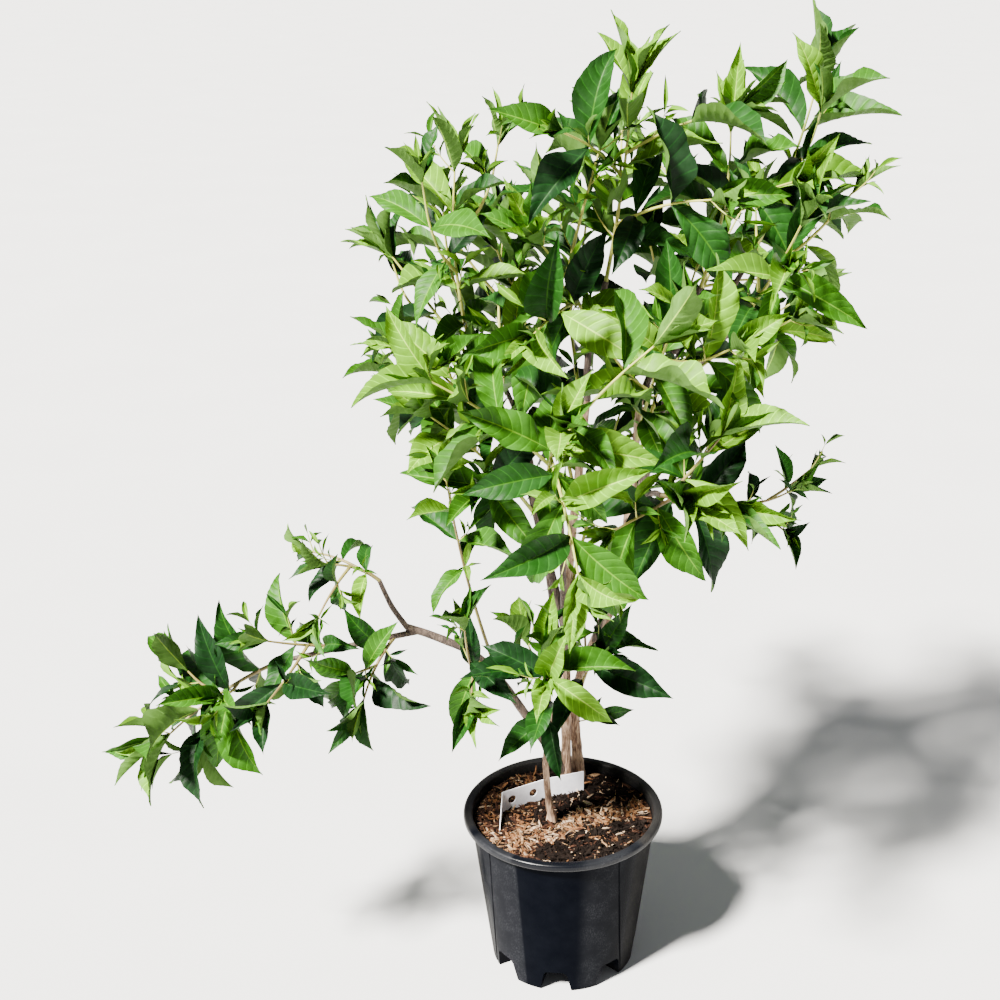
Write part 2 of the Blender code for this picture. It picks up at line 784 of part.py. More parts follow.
def grow_twigs(mass, lines, limbs, placed):
    """A mass's shoots that find room, each with its number. placed gains them."""
    chance = random.Random(mass.seed)
    twigs = []
    for k, shoot in enumerate(grow_shoots(mass, lines, chance)):
        whole = solid_of(twig_shape(shoot, KEEP_OFF))
        outer = solid_of(twig_shape(shoot, KEEP_OFF, trim=1))
        new = Grown(mass.name, k, False, whole, outer)
        if has_room(new, placed, limbs, "" if k else mass.host):
            placed.append(new)
            twigs.append((k, shoot))
        elif not k:
            raise ValueError(f"the leader of {mass.name} has no room")
    return twigs


def grow_leaves(mass, twigs, limbs, placed):
    """The leaves of each of a mass's twigs that find room. placed gains them."""
    chance = random.Random(mass.seed)
    leader = twigs[0][1]
    grown = []
    for k, shoot in twigs:
        leaves = []
        bare = SIDE_BARE if k else mass.bare
        for place in pair_places(shoot, mass, bare, chance):
            for side in range(2):
                length = place.size * chance.uniform(0.86, 1.08)
                bend = BEND_DOWN * chance.uniform(0.6, 1.5)
                for swing in (0.0, LEAF_SWING, -LEAF_SWING):
                    leaf = leaf_at(place, side * math.pi + swing, length, bend)
                    whole = solid_of(leaf_shape(leaf, KEEP_OFF))
                    outer = solid_of(leaf_shape(leaf, KEEP_OFF, trim=ROOT_SHARE))
                    new = Grown(mass.name, k, True, whole, outer)
                    inside = in_space(mass, leader, leaf_place(leaf, 1, 0, 0))
                    if inside and has_room(new, placed, limbs, ""):
                        placed.append(new)
                        leaves.append(leaf)
                        break
        grown.append((k, shoot, leaves))
    return grown


def grow_plant(lines, shells):
    """Every mass's twigs, and then every mass's leaves in the room that is left."""
    limbs = limb_solids(lines, shells)
    placed = []
    twigs = {mass.name: grow_twigs(mass, lines, limbs, placed) for mass in MASSES}
    return {mass.name: grow_leaves(mass, twigs[mass.name], limbs, placed) for mass in MASSES}


def build_mass(mass, shoots, shells, parts, leafy):
    """One solid: the leader, its side shoots and all their leaves, cut clear of the host."""
    pieces = bpy.data.collections.new(mass.name + "_pieces")
    bpy.context.scene.collection.children.link(pieces)
    leader = link(mass.name, mesh_from(twig_shape(shoots[0][1]), mass.name), parts, leafy)
    for k, shoot, leaves in shoots:
        if k:
            link(f"{mass.name}_twig_{k}", mesh_from(twig_shape(shoot), "twig"), pieces)
        for n, leaf in enumerate(leaves):
            link(f"{mass.name}_leaf_{k}_{n}", mesh_from(leaf_shape(leaf), "leaf"), pieces)
    boolean(leader, "UNION", pieces)
    apply_modifiers(leader)
    boolean(leader, "DIFFERENCE", shells[mass.host])
    apply_modifiers(leader)
    leader.data.materials.clear()
    leader.data.materials.append(leafy)
    for obj in list(pieces.objects):
        bpy.data.objects.remove(obj)
    bpy.data.collections.remove(pieces)
    return leader


def main():
    for obj in list(bpy.data.objects):
        bpy.data.objects.remove(obj)
    parts = bpy.data.collections.new("potted_weigela")
    cutters = bpy.data.collections.new("cutters")
    for collection in (parts, cutters):
        bpy.context.scene.collection.children.link(collection)
    build_pot(parts, cutters)
    build_mulch(parts)
    build_tag(parts, cutters)
    bark = material("bark", (0.23, 0.14, 0.09), 0.85)
    leafy = material("leaf_green", (0.09, 0.26, 0.045), 0.45)
    lines, shells = build_limbs(parts, cutters, bark)
    grown = grow_plant(lines, shells)
    count = 0
    for mass in MASSES:
        build_mass(mass, grown[mass.name], shells, parts, leafy)
        leaves = sum(len(leaves) for _, _, leaves in grown[mass.name])
        count += leaves
        print(mass.name, "shoots", len(grown[mass.name]), "leaves", leaves)
    print("leaves in all", count)


main()
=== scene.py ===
"""Looks of a potted weigela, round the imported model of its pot, mulch, tag, limbs and shoots.

Metres, +Z up, +Y away from the viewer. Each mass of shoots grows by the rule that its solid grows by. It then
gets full leaves, young tips and small side sprigs within the same reach.
"""

import math
import random
from typing import NamedTuple

import bmesh
import bpy
import numpy as np
from mathutils import Matrix, Vector, noise
from mathutils.bvhtree import BVHTree


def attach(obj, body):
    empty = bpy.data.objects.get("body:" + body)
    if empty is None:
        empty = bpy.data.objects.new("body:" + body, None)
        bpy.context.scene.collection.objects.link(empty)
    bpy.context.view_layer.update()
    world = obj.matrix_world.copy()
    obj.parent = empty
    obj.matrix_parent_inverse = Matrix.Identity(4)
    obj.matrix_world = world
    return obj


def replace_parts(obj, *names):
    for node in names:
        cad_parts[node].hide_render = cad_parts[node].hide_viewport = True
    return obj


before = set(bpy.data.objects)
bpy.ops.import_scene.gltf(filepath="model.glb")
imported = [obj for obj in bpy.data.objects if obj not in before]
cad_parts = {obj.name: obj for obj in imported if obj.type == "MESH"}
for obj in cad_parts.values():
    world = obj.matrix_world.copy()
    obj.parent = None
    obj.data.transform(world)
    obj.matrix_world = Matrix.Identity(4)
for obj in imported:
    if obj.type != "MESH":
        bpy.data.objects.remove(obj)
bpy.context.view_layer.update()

GAP = 0.0003
UP = Vector((0, 0, 1))

# Pot
POT_HEIGHT = 0.210
RIM_RADIUS = 0.125
RIM_DEPTH = 0.010
UNDER_RIM = POT_HEIGHT - RIM_DEPTH
RIM_WIDTH = 0.0100
RIM_ROUNDING = 0.0038
WALL_TOP_RADIUS = 0.1155
WALL_FOOT_RADIUS = 0.0912
WALL = 0.0025
FLOOR = 0.003
FLOOR_RADIUS = 0.045
POT_STEPS = 144
NOTCHES = 8
NOTCH_TURN = math.radians(-96)
NOTCH_HEIGHT = 0.028
NOTCH_FOOT_WIDTH = 0.046
NOTCH_TOP_WIDTH = 0.029
NOTCH_ROUNDING = 0.004
PANEL_TURN = math.radians(-97.5)
PANEL_HALF_WIDTH = 0.079
GROOVE_RADIUS = 0.0016

# Scuffed panels on the pot, lightened as painted sheen, by radians to the right of its front: where each
# starts, is full, thins and ends
LEFT_SCUFF_AND_SHEEN = (-1.1, -1.0, -0.54, -0.5)
RIGHT_SCUFF_AND_SHEEN = (0.15, 0.34, 0.62, 0.8)

# Mulch
MULCH_SEED = 11
MULCH_TOP = 0.196
MULCH_CLEAR = 0.0012
CHIPS = 2600
CHIP_LENGTH = (0.006, 0.024)
CHIP_WIDTH = (0.0014, 0.0048)
CHIP_THICKNESS = (0.0006, 0.0024)
CHIP_RINGS = ((0.0, 0.55), (0.3, 1.0), (0.7, 0.9), (1.0, 0.4))
FIBRES = 900
FIBRE_WIDTH = (0.0005, 0.001)
CHIP_TILT = 0.3
CHIP_ROLL = 0.5
CHIP_RISE = 0.0075
TAG_LINE = ((-0.079, -0.034), (-0.077, 0.0105), (-0.022, 0.042), (0.0265, 0.060))
TAG_CLEAR = 0.007

# Shades of bark, each its dark and its light, and each one's share of the chips in a part of the mulch, where
# the shares paint light and shadow
CHIP_SHADES = (
    ("bark_red", (0.010, 0.0045, 0.003), (0.05, 0.022, 0.013)),
    ("bark_tan", (0.06, 0.032, 0.014), (0.25, 0.15, 0.08)),
    ("bark_dark", (0.0015, 0.001, 0.0008), (0.008, 0.005, 0.0036)),
    ("bark_orange", (0.045, 0.018, 0.006), (0.165, 0.074, 0.032)),
    ("bark_pale", (0.14, 0.09, 0.055), (0.46, 0.34, 0.235)),
)
# Pale chips in a sunlit strip as painted light, a mix at the partly lit left, and mostly dark chips elsewhere
# as painted shadow
SUNLIT_STRIP_SHARES = (2.5, 5, 2.5, 5, 1.6)
PARTLY_LIT_LEFT_SHARES = (6, 2, 6, 3.5, 0.8)
SHADOWED_SHARES = (2, 0.4, 20, 0.5, 0.5)
# Where the painted sunlit strip lies across the heap
SUNLIT_STRIP_SLOPE = 0.47
SUNLIT_STRIP_DROP = 0.028
SUNLIT_STRIP_HALF_WIDTH = 0.021
LEFT_PART_END = -0.035

# Limbs
ROOT_FLARE = 0.32
BARK_SIDES = 24
BARK_STEP = 0.0035
BARK_RELIEF = 0.12
FURROWS = {"front_stem": 0.5, "left_stem": 0.28, "right_stem": 0.28}
FURROW_WINDING = 7.0
BARK_SEED_STEP = 7.3

# Leaves
LEAF_WIDTH = 0.45
LEAF_THICKNESS = 0.02
LEAF_FOLD = math.radians(17)
BEND_DOWN = 0.75
ROOT_OFF_AXIS = 0.0003
ROOT_SHARE = 0.14
INTERNODE = 0.044
OPENING_LOW = math.radians(72)
OPENING_HIGH = math.radians(24)
LEAF_SWING = math.radians(28)
LIGHT_FROM = Vector((-0.15, -0.65, 0.75))
LIGHT_PULL = 0.95
KEEP_OFF = 0.0006

# Shoots
LEADER_FOOT = 0.0028
TWIG_FOOT = 0.0024
TWIG_TIP = 0.0017
LEADER_STEPS = 5
SIDE_STEPS = 3
SIDE_BARE = 0.03
HOST_PULL = 0.35
HOST_PULL_AT_TIP = 0.9
GOLDEN_ANGLE = math.radians(137.5)
TWIG_SIDES = 7
TWIG_STEP = 0.006
TWIG_SLENDER = 0.9
YOUNG_WOOD_FROM = 0.7

# Full leaves: their grid, then their veins, then the ranges of their habits
LANES = (-1.0, -0.74, -0.4, -0.04, 0.04, 0.4, 0.74, 1.0)
RIB_REACH = 0.1
SMALL_ROWS = 8
SMALL_LEAF = 0.05
BEND_STEPS = 32
BLADE_THICKNESS = 0.004
STALK = 0.035
LEAF_VEINS = 10
VEIN_SHARE = 0.12
VEIN_SWEEP = 0.14
VEIN_DEPTH = 0.0085
RIB_DEPTH = 0.006
TOOTH = 0.018
TWIST = (-0.65, 0.65)
RECURVE = (0.2, 2.4)
RECURVE_FROM = 0.6
SICKLE = (-0.1, 0.1)
WAVE_HEIGHT = (0.015, 0.06)
WAVES = (1.3, 2.6)
WAVE_LAG = (0.6, 2.4)
FOLDS = (1.0, 2.7)
CUP = (-0.25, 0.6)
LEAF_SLIM = 0.88
YOUNG_SLIM = 0.72
YOUNG_FOLD = 1.5

# Young tips and sprigs
FINER_SEED = 1000
TIP_LEAVES = (3, 4, 5)
LEADER_TIP_SIZES = (0.45, 0.95)
TIP_SIZES = (0.3, 0.65)
SPRIG_CHANCE = 0.8
SPRIG_LENGTH = (0.012, 0.042)
SPRIG_RADII = (0.0010, 0.0006)
SPRIG_LEAF_SIZES = (0.24, 0.5)
STEM_TWIG_RADII = (0.0012, 0.0009)

# Greens from dark to bright, which stand partly for the leaves' own tones and partly for painted shade and
# painted sunlight, the slots after theirs, and what makes a shoot or leaf brighter
BLADES = (
    ("leaf_deep", (0.0010, 0.013, 0.001)),
    ("leaf_green", (0.0050, 0.034, 0.002)),
    ("leaf_fresh", (0.018, 0.076, 0.0015)),
    ("leaf_lime", (0.075, 0.185, 0.004)),
)
RIB_SLOT = len(BLADES)
UNDERSIDE_SLOT = RIB_SLOT + 1
VEIN_SLOT = RIB_SLOT + 2
VEIN_PALER = 1.85
BRIGHT_MIDDLE = 1.6
MIDDLE_HEIGHT = 0.7
# Brighter higher up: partly younger growth, partly painted sunlight.
YOUNG_AND_SUNLIT_UP = 1.2
# Painted shade: leaves further back are deeper green.
PAINTED_SHADE_TO_BACK = 4.5
BRIGHTER_YOUNG = 1.5
FAR_LEFT = -0.2
# Painted shade: the greens darken out on the low bough at the far left.
PAINTED_SHADE_FAR_LEFT = 4.5
SHOOT_SPREAD = 1.1
LEAF_SPREAD = 1.5

# Camera and light
CAMERA_PLACE = (0.0, -1.61, 1.266)
CAMERA_PITCH = math.radians(21.69)
CAMERA_LENS = 54
CAMERA_SENSOR = 36
CAMERA_SHIFT = -0.063
SUN_FROM = Vector((-0.62, -0.60, 1.0))
SUN_ANGLE = math.radians(8)
SUN_STRENGTH = 34.0
SKY_STRENGTH = 0.35
FLOOR_SIZE = 60
FLOOR_DROP = 0.0005


class Limb(NamedTuple):
    """A woody limb: what it springs from, its knees and tip, and its radius at each end."""

    name: str
    host: str
    at: float
    knees: tuple
    foot_radius: float
    tip_radius: float


class Mass(NamedTuple):
    """A leafy mass: a leader from its host limb to its tip, with side shoots round it."""

    name: str
    host: str
    at: float
    tip: tuple
    sides: int
    side_length: float
    leaf: float
    rise: float
    bare: float
    seed: int


class StemLeaves(NamedTuple):
    """Leaves low on a stem: the mass that they go with, their stem and share, their root and their tips."""

    mass: str
    stem: str
    at: float
    root: tuple
    tips: tuple


class Shoot(NamedTuple):
    """A leafy twig: its points, from its foot to its tip, and its radius at each end."""

    points: list
    foot_radius: float
    tip_radius: float


class PairPlace(NamedTuple):
    """Where a pair of leaves stands: its root, way and turn, its leaves' size, its share of the shoot."""

    root: Vector
    way: Vector
    turn: float
    size: float
    share: float


class Leaf(NamedTuple):
    """A leaf: its root, the way it sets off, the way its upper face looks, and how it bends."""

    root: Vector
    along: Vector
    normal: Vector
    length: float
    bend: float


STEM_LEAVES = (
    StemLeaves(
        "low_front_shoots", "front_stem", 0.93, (-0.018, -0.046, 0.366),
        ((-0.003, -0.100, 0.312), (-0.080, -0.088, 0.340)),
    ),
    StemLeaves(
        "low_right_shoots", "right_stem", 0.27, (0.039, 0.055, 0.306),
        ((0.023, 0.045, 0.336), (0.046, 0.045, 0.339), (0.086, 0.040, 0.331), (0.069, 0.030, 0.315)),
    ),
)

STEMS = (
    Limb("left_stem", "", 0,
         ((0.004, 0.073, 0), (0.004, 0.070, 0.260), (0.005, 0.055, 0.485), (0.028, 0.030, 0.737)),
         0.0078, 0.0045),
    Limb("right_stem", "", 0,
         ((0.020, 0.090, 0), (0.019, 0.084, 0.335), (0.069, 0.062, 0.499), (0.089, 0.040, 0.734)),
         0.0088, 0.0048),
    Limb("front_stem", "", 0,
         ((-0.014, -0.013, 0), (-0.021, -0.020, 0.279), (-0.016, -0.042, 0.375)), 0.0062, 0.0038),
)

BOUGHS = (
    Limb("low_bough", "left_stem", 0.2,
         ((-0.085, 0.020, 0.391), (-0.137, -0.005, 0.445), (-0.184, -0.020, 0.472)), 0.0062, 0.0044),
    Limb("low_bough_arch", "low_bough", 1.0,
         ((-0.200, -0.028, 0.503), (-0.212, -0.036, 0.540)), 0.0036, 0.0026),
    Limb("low_bough_reach", "low_bough", 0.9,
         ((-0.240, -0.052, 0.466), (-0.329, -0.078, 0.456)), 0.0036, 0.0026),
    Limb("crown_bough_left", "left_stem", 0.62,
         ((-0.054, 0.030, 0.684), (-0.097, 0.010, 0.784)), 0.0052, 0.0032),
    Limb("crown_bough_middle", "left_stem", 1.0,
         ((0.029, 0.030, 0.794), (0.048, 0.035, 0.874)), 0.0042, 0.0032),
    Limb("crown_bough_right", "right_stem", 0.80,
         ((0.137, 0.030, 0.754), (0.189, 0.000, 0.829)), 0.0052, 0.0032),
    Limb("crown_bough_high", "right_stem", 1.0,
         ((0.116, 0.060, 0.794), (0.157, 0.070, 0.859)), 0.0044, 0.0032),
    Limb("crown_bough_far", "crown_bough_high", 0.3,
         ((0.170, 0.090, 0.815), (0.220, 0.095, 0.895)), 0.0038, 0.003),
    Limb("front_bough", "left_stem", 0.55,
         ((-0.003, -0.040, 0.624), (-0.015, -0.110, 0.694)), 0.0044, 0.0030),
    Limb("right_low_bough", "right_stem", 0.62,
         ((0.141, 0.100, 0.594), (0.206, 0.095, 0.584)), 0.0042, 0.0028),
    Limb("right_front_bough", "right_stem", 0.50,
         ((0.088, 0.000, 0.614), (0.109, -0.070, 0.659)), 0.0042, 0.0030),
    Limb("back_bough_left", "left_stem", 0.50,
         ((-0.038, 0.110, 0.624), (-0.070, 0.170, 0.704)), 0.0046, 0.0030),
    Limb("back_bough_right", "right_stem", 0.66,
         ((0.122, 0.130, 0.694), (0.151, 0.190, 0.774)), 0.0046, 0.0030),
)

MASSES = (
    Mass("top_centre_shoots", "crown_bough_middle", 1,
         (0.073, 0.021, 1.081), 4, 0.12, 0.104, -0.2, 0.05, 525),
    Mass("top_middle_shoots", "crown_bough_high", 1, (0.182, 0.048, 1.036), 1, 0.14, 0.102, -0.1, 0.05, 202),
    Mass("top_right_shoots", "crown_bough_far", 1, (0.279, 0.092, 1.078), 1, 0.10, 0.114, 0.6, 0.05, 220),
    Mass("upper_right_shoots", "crown_bough_right", 1, (0.244, -0.077, 0.959), 3, 0.1, 0.092, 0.2, 0.04, 400),
    Mass("upper_left_shoots", "crown_bough_middle", 0.6,
         (-0.022, -0.037, 0.930), 2, 0.15, 0.102, -0.1, 0.05, 790),
    Mass("top_left_shoots", "crown_bough_left", 1, (-0.115, 0.000, 1.003), 3, 0.12, 0.090, 0.9, 0.05, 114),
    Mass("far_left_shoots", "crown_bough_left", 0.86, (-0.189, 0.031, 0.903), 1, 0.09, 0.086, 1.1, 0.06, 88),
    Mass("left_shoots", "crown_bough_left", 0.45, (-0.164, -0.035, 0.815), 2, 0.11, 0.088, 0.2, 0.06, 186),
    Mass("left_middle_shoots", "crown_bough_left", 0.3,
         (-0.144, -0.065, 0.749), 2, 0.10, 0.094, 0.1, 0.05, 983),
    Mass("left_low_shoots", "low_bough", 0.3, (-0.126, -0.096, 0.687), 0, 0.08, 0.080, 0.5, 0.20, 721),
    Mass("front_shoots", "front_bough", 1, (-0.003, -0.207, 0.780), 3, 0.15, 0.106, -0.2, 0.04, 650),
    Mass("right_front_shoots", "right_front_bough", 1, (0.124, -0.138, 0.681), 2, 0.11, 0.118, 0, 0.04, 31),
    Mass("right_under_shoots", "right_front_bough", 0.6,
         (0.170, -0.095, 0.654), 1, 0.07, 0.100, 0, 0.04, 381),
    Mass("centre_right_shoots", "right_stem", 0.93, (0.120, -0.112, 0.877), 2, 0.09, 0.098, 0.3, 0.05, 610),
    Mass("right_shoots", "crown_bough_right", 0.6, (0.258, 0.058, 0.842), 2, 0.09, 0.084, 0.1, 0.04, 191),
    Mass("right_low_shoots", "right_low_bough", 1, (0.272, 0.073, 0.607), 2, 0.07, 0.062, 0.1, 0.02, 289),
    Mass("inner_left_shoots", "left_stem", 0.85, (-0.078, 0.114, 0.895), 1, 0.13, 0.090, -0.1, 0.05, 529),
    Mass("inner_right_shoots", "right_stem", 0.86, (0.171, 0.144, 0.906), 2, 0.11, 0.090, 0.3, 0.05, 605),
    Mass("back_left_shoots", "back_bough_left", 1, (-0.075, 0.251, 0.878), 2, 0.16, 0.096, 0.2, 0.07, 294),
    Mass("back_right_shoots", "back_bough_right", 1, (0.220, 0.238, 0.916), 2, 0.15, 0.084, -0.2, 0.07, 651),
    Mass("back_low_shoots", "left_stem", 0.66, (0.091, 0.221, 0.715), 2, 0.17, 0.092, -0.1, 0.09, 604),
    Mass("back_top_shoots", "left_stem", 0.95, (-0.019, 0.170, 0.929), 1, 0.14, 0.084, 0.5, 0.05, 292),
    Mass("low_front_shoots", "front_stem", 1, (-0.019, -0.090, 0.478), 2, 0.06, 0.098, 0.2, 0.02, 218),
    Mass("low_right_shoots", "right_stem", 0.36, (0.043, 0.009, 0.421), 1, 0.08, 0.100, 0.5, 0.04, 870),
    Mass("low_left_shoots", "low_bough", 0.42, (-0.106, -0.073, 0.409), 1, 0.08, 0.090, 0.5, 0.03, 627),
    Mass("bough_near_shoots", "low_bough_reach", 0.2, (-0.229, -0.095, 0.416), 1, 0.05, 0.084, 0, 0.02, 989),
    Mass("bough_high_shoots", "low_bough_arch", 1, (-0.266, -0.062, 0.572), 2, 0.07, 0.064, -0.2, 0.02, 107),
    Mass("bough_middle_shoots", "low_bough_reach", 0.55,
         (-0.331, -0.107, 0.498), 1, 0.10, 0.082, 0.1, 0.03, 419),
    Mass("bough_end_shoots", "low_bough_reach", 1, (-0.449, -0.121, 0.386), 3, 0.04, 0.104, 0.4, 0.02, 230),
)


# Nodes of a material


def add(tree, kind, inputs, **settings):
    """A new shader node. An input is a plain value or another node's output."""
    made = tree.nodes.new(kind)
    for key, value in settings.items():
        setattr(made, key, value)
    for key, value in inputs.items():
        if isinstance(value, bpy.types.NodeSocket):
            tree.links.new(value, made.inputs[key])
        else:
            made.inputs[key].default_value = value
    return made


def new_material(name, roughness, shine=0.5):
    """A Principled material, its node tree, its shader and the piece's own coordinates in metres."""
    made = bpy.data.materials.new(name)
    made.use_nodes = True
    tree = made.node_tree
    shader = tree.nodes["Principled BSDF"]
    shader.inputs["Roughness"].default_value = roughness
    shader.inputs["Specular IOR Level"].default_value = shine
    return made, tree, shader, tree.nodes.new("ShaderNodeTexCoord").outputs["Object"]


def stretched(tree, place, scale):
    """Coordinates scaled apart along each axis."""
    return add(tree, "ShaderNodeMapping", {"Vector": place, "Scale": scale}).outputs["Vector"]


def noise_at(tree, place, scale, detail=3.0, rough=0.55):
    """A noise pattern's value."""
    inputs = {"Vector": place, "Scale": scale, "Detail": detail, "Roughness": rough}
    return add(tree, "ShaderNodeTexNoise", inputs).outputs["Fac"]


def ramp(tree, factor, *stops):
    """A colour that runs through stops, each a place from 0 to 1 and a colour."""
    made = add(tree, "ShaderNodeValToRGB", {"Fac": factor})
    elements = made.color_ramp.elements
    while len(elements) < len(stops):
        elements.new(1.0)
    for element, (place, colour) in zip(elements, stops):
        element.position = place
        element.color = (*colour, 1)
    return made.outputs["Color"]


def math_node(tree, operation, *values):
    """What an arithmetic node makes of its values."""
    return add(tree, "ShaderNodeMath", dict(enumerate(values)), operation=operation).outputs["Value"]


def times(tree, one, other):
    """One value multiplied by another."""
    return math_node(tree, "MULTIPLY", one, other)


def plus(tree, one, other):
    """Two values added."""
    return math_node(tree, "ADD", one, other)


def mix(tree, factor, *colours):
    """A colour between two others, each plain or another node's output."""
    inputs = {"Factor": factor}
    for socket, colour in zip((6, 7), colours):
        inputs[socket] = (*colour, 1) if isinstance(colour, tuple) else colour
    return add(tree, "ShaderNodeMix", inputs, data_type="RGBA").outputs[2]


def span(tree, value, low, high, to_low=0.0, to_high=1.0):
    """value, moved smoothly from the range low to high to the range to_low to to_high."""
    inputs = {"Value": value, "From Min": low, "From Max": high, "To Min": to_low, "To Max": to_high}
    return add(tree, "ShaderNodeMapRange", inputs, interpolation_type="SMOOTHSTEP").outputs["Result"]


def dress(tree, shader, colour, height=None, depth=0.0, strength=1.0):
    """Gives shader its colour and, where there is a height pattern, a bump that is depth metres deep."""
    tree.links.new(colour, shader.inputs["Base Color"])
    if height is not None:
        inputs = {"Height": height, "Distance": depth, "Strength": strength}
        tree.links.new(add(tree, "ShaderNodeBump", inputs).outputs["Normal"], shader.inputs["Normal"])


# Materials


def scuff_and_sheen_band(tree, turn, band, most):
    """Scuffs and painted sheen between two turns round the pot: band says where they start, are full, thin
    and end.
    """
    start, full, thins, end = band
    return times(tree, span(tree, turn, start, full), span(tree, turn, thins, end, most, 0.0))


def pot_material(name, shine):
    """Blue-black moulded plastic: scuffed panels at the sides of its front lightened as painted sheen, far
    sides lightened as a painted reflection of the ground, and a rim lighter on its right half.
    """
    made, tree, shader, place = new_material(name, 0.3, shine)
    x, y, z = add(tree, "ShaderNodeSeparateXYZ", {"Vector": place}).outputs
    turn = math_node(tree, "ARCTAN2", x, times(tree, y, -1.0))
    # Painted sheen: the scuffed panels at the sides of the front are lightened.
    panel_scuffs_and_sheen = plus(tree, scuff_and_sheen_band(tree, turn, LEFT_SCUFF_AND_SHEEN, 0.85), scuff_and_sheen_band(tree, turn, RIGHT_SCUFF_AND_SHEEN, 0.8))
    # Painted reflection of the ground: the far sides, round to the back, are lightened and tinted brown.
    sides = plus(tree, span(tree, turn, -1.25, -1.1, 1.0, 0.0), span(tree, turn, 0.82, 0.95))
    # The rim is lighter on its right half, from the front right round to the back.
    on_rim = span(tree, z, UNDER_RIM - 0.001, UNDER_RIM + 0.001)
    rim = times(tree, on_rim, span(tree, turn, 0.0, 0.5, 0.08, 0.45))
    speckle = noise_at(tree, stretched(tree, place, (1, 1, 0.45)), 900)
    cloud = noise_at(tree, place, 45, 4)
    scuff = times(tree, span(tree, speckle, 0.45, 0.7), span(tree, cloud, 0.35, 0.65))
    # What is lightened: scuffs with painted sheen, the painted reflection on the far sides, and the rim.
    lightened = plus(tree, panel_scuffs_and_sheen, plus(tree, times(tree, sides, 0.7), rim))
    lightening = times(tree, lightened, plus(tree, times(tree, scuff, 0.75), 0.25))
    base = ramp(tree, cloud, (0.3, (0.0006, 0.0009, 0.002)), (0.7, (0.0014, 0.0018, 0.0032)))
    # Bluish grey, turning brown on the far sides as painted reflection.
    lightened_colour = mix(tree, sides, (0.022, 0.023, 0.026), (0.028, 0.026, 0.023))
    tree.links.new(span(tree, lightened, 0.0, 0.9, 0.26, 0.46), shader.inputs["Roughness"])
    dress(tree, shader, mix(tree, lightening, base, lightened_colour), speckle, 0.0002, 0.35)
    return made


def soil_material():
    """The dark crumbs between the chips of bark."""
    made, tree, shader, place = new_material("potting_mix", 0.95, 0.05)
    crumbs = noise_at(tree, place, 420, 5, 0.7)
    shades = ((0.3, (0.004, 0.002, 0.0015)), (0.55, (0.02, 0.01, 0.006)), (0.75, (0.08, 0.04, 0.022)))
    dress(tree, shader, ramp(tree, crumbs, *shades), crumbs, 0.002)
    return made


def chip_material(name, dark, light):
    """One shade of shredded bark, streaked along its fibres."""
    made, tree, shader, place = new_material(name, 0.88, 0.06)
    streak = noise_at(tree, stretched(tree, place, (1, 0.35, 1)), 700, 4, 0.65)
    dress(tree, shader, ramp(tree, streak, (0.32, dark), (0.62, light)), streak, 0.0006)
    return made


def tag_material():
    """White plastic, a little grubby."""
    made, tree, shader, place = new_material("tag_plastic", 0.42)
    grime = noise_at(tree, place, 120, 4, 0.6)
    dress(tree, shader, ramp(tree, grime, (0.3, (0.7, 0.68, 0.74)), (0.6, (0.84, 0.83, 0.88))))
    tree.links.new(span(tree, grime, 0.3, 0.7, 0.5, 0.36), shader.inputs["Roughness"])
    return made


def bark_material(name, deep, middle, pale):
    """Papery bark with long fibres, pale patches and dark cracks."""
    made, tree, shader, place = new_material(name, 0.82)
    fibre = noise_at(tree, stretched(tree, place, (1, 1, 0.12)), 650, 5, 0.62)
    patch = noise_at(tree, stretched(tree, place, (1, 1, 0.3)), 90, 3, 0.5)
    wood = ramp(tree, fibre, (0.34, deep), (0.5, middle), (0.68, pale))
    colour = mix(tree, span(tree, patch, 0.5, 0.66, 0.0, 0.6), wood, pale)
    dress(tree, shader, colour, fibre, 0.0012, 0.8)
    return made


def twig_material(name, one, other):
    """Young wood that turns from one colour to another."""
    made, tree, shader, place = new_material(name, 0.55)
    colour = ramp(tree, noise_at(tree, place, 26), (0.35, one), (0.65, other))
    dress(tree, shader, colour, noise_at(tree, stretched(tree, place, (1, 1, 0.3)), 900), 0.0004, 0.6)
    return made


def leaf_material(name, colour, roughness, shine):
    """One green, slightly mottled and finely grained."""
    made, tree, shader, place = new_material(name, roughness, shine)
    paler = tuple(c * 1.16 + 0.004 for c in colour)
    deeper = tuple(c * 0.84 for c in colour)
    mottled = ramp(tree, noise_at(tree, place, 70), (0.35, deeper), (0.65, paler))
    dress(tree, shader, mottled, noise_at(tree, place, 1100, 3, 0.6), 0.0003, 0.5)
    return made


# Meshes and objects


def ride(obj):
    """obj is a piece of the plant's one body."""
    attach(obj, "root")
    return obj


def link(name, data, finishes=()):
    """A new object in the scene: a mesh with those materials, a lamp or a camera."""
    obj = bpy.data.objects.new(name, data)
    bpy.context.scene.collection.objects.link(obj)
    for finish in finishes:
        data.materials.append(finish)
    return obj


def refinish(node, finish):
    """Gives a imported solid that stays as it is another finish."""
    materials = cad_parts[node].data.materials
    materials.clear()
    materials.append(finish)


def mesh_from(bm, name):
    """The mesh that bm holds, with its faces turned outwards."""
    bmesh.ops.recalc_face_normals(bm, faces=bm.faces)
    mesh = bpy.data.meshes.new(name)
    bm.to_mesh(mesh)
    bm.free()
    return mesh


class Faces(NamedTuple):
    """Faces of a pattern that repeats: their corners one after another, where each starts, and its slot."""

    corners: np.ndarray
    starts: np.ndarray
    slots: np.ndarray


def faces_of(rows):
    """The Faces for rows of (corners, slot)."""
    corners = [corner for face, _ in rows for corner in face]
    starts = np.cumsum([0, *(len(face) for face, _ in rows[:-1])])
    return Faces(np.array(corners), starts, np.array([slot for _, slot in rows]))


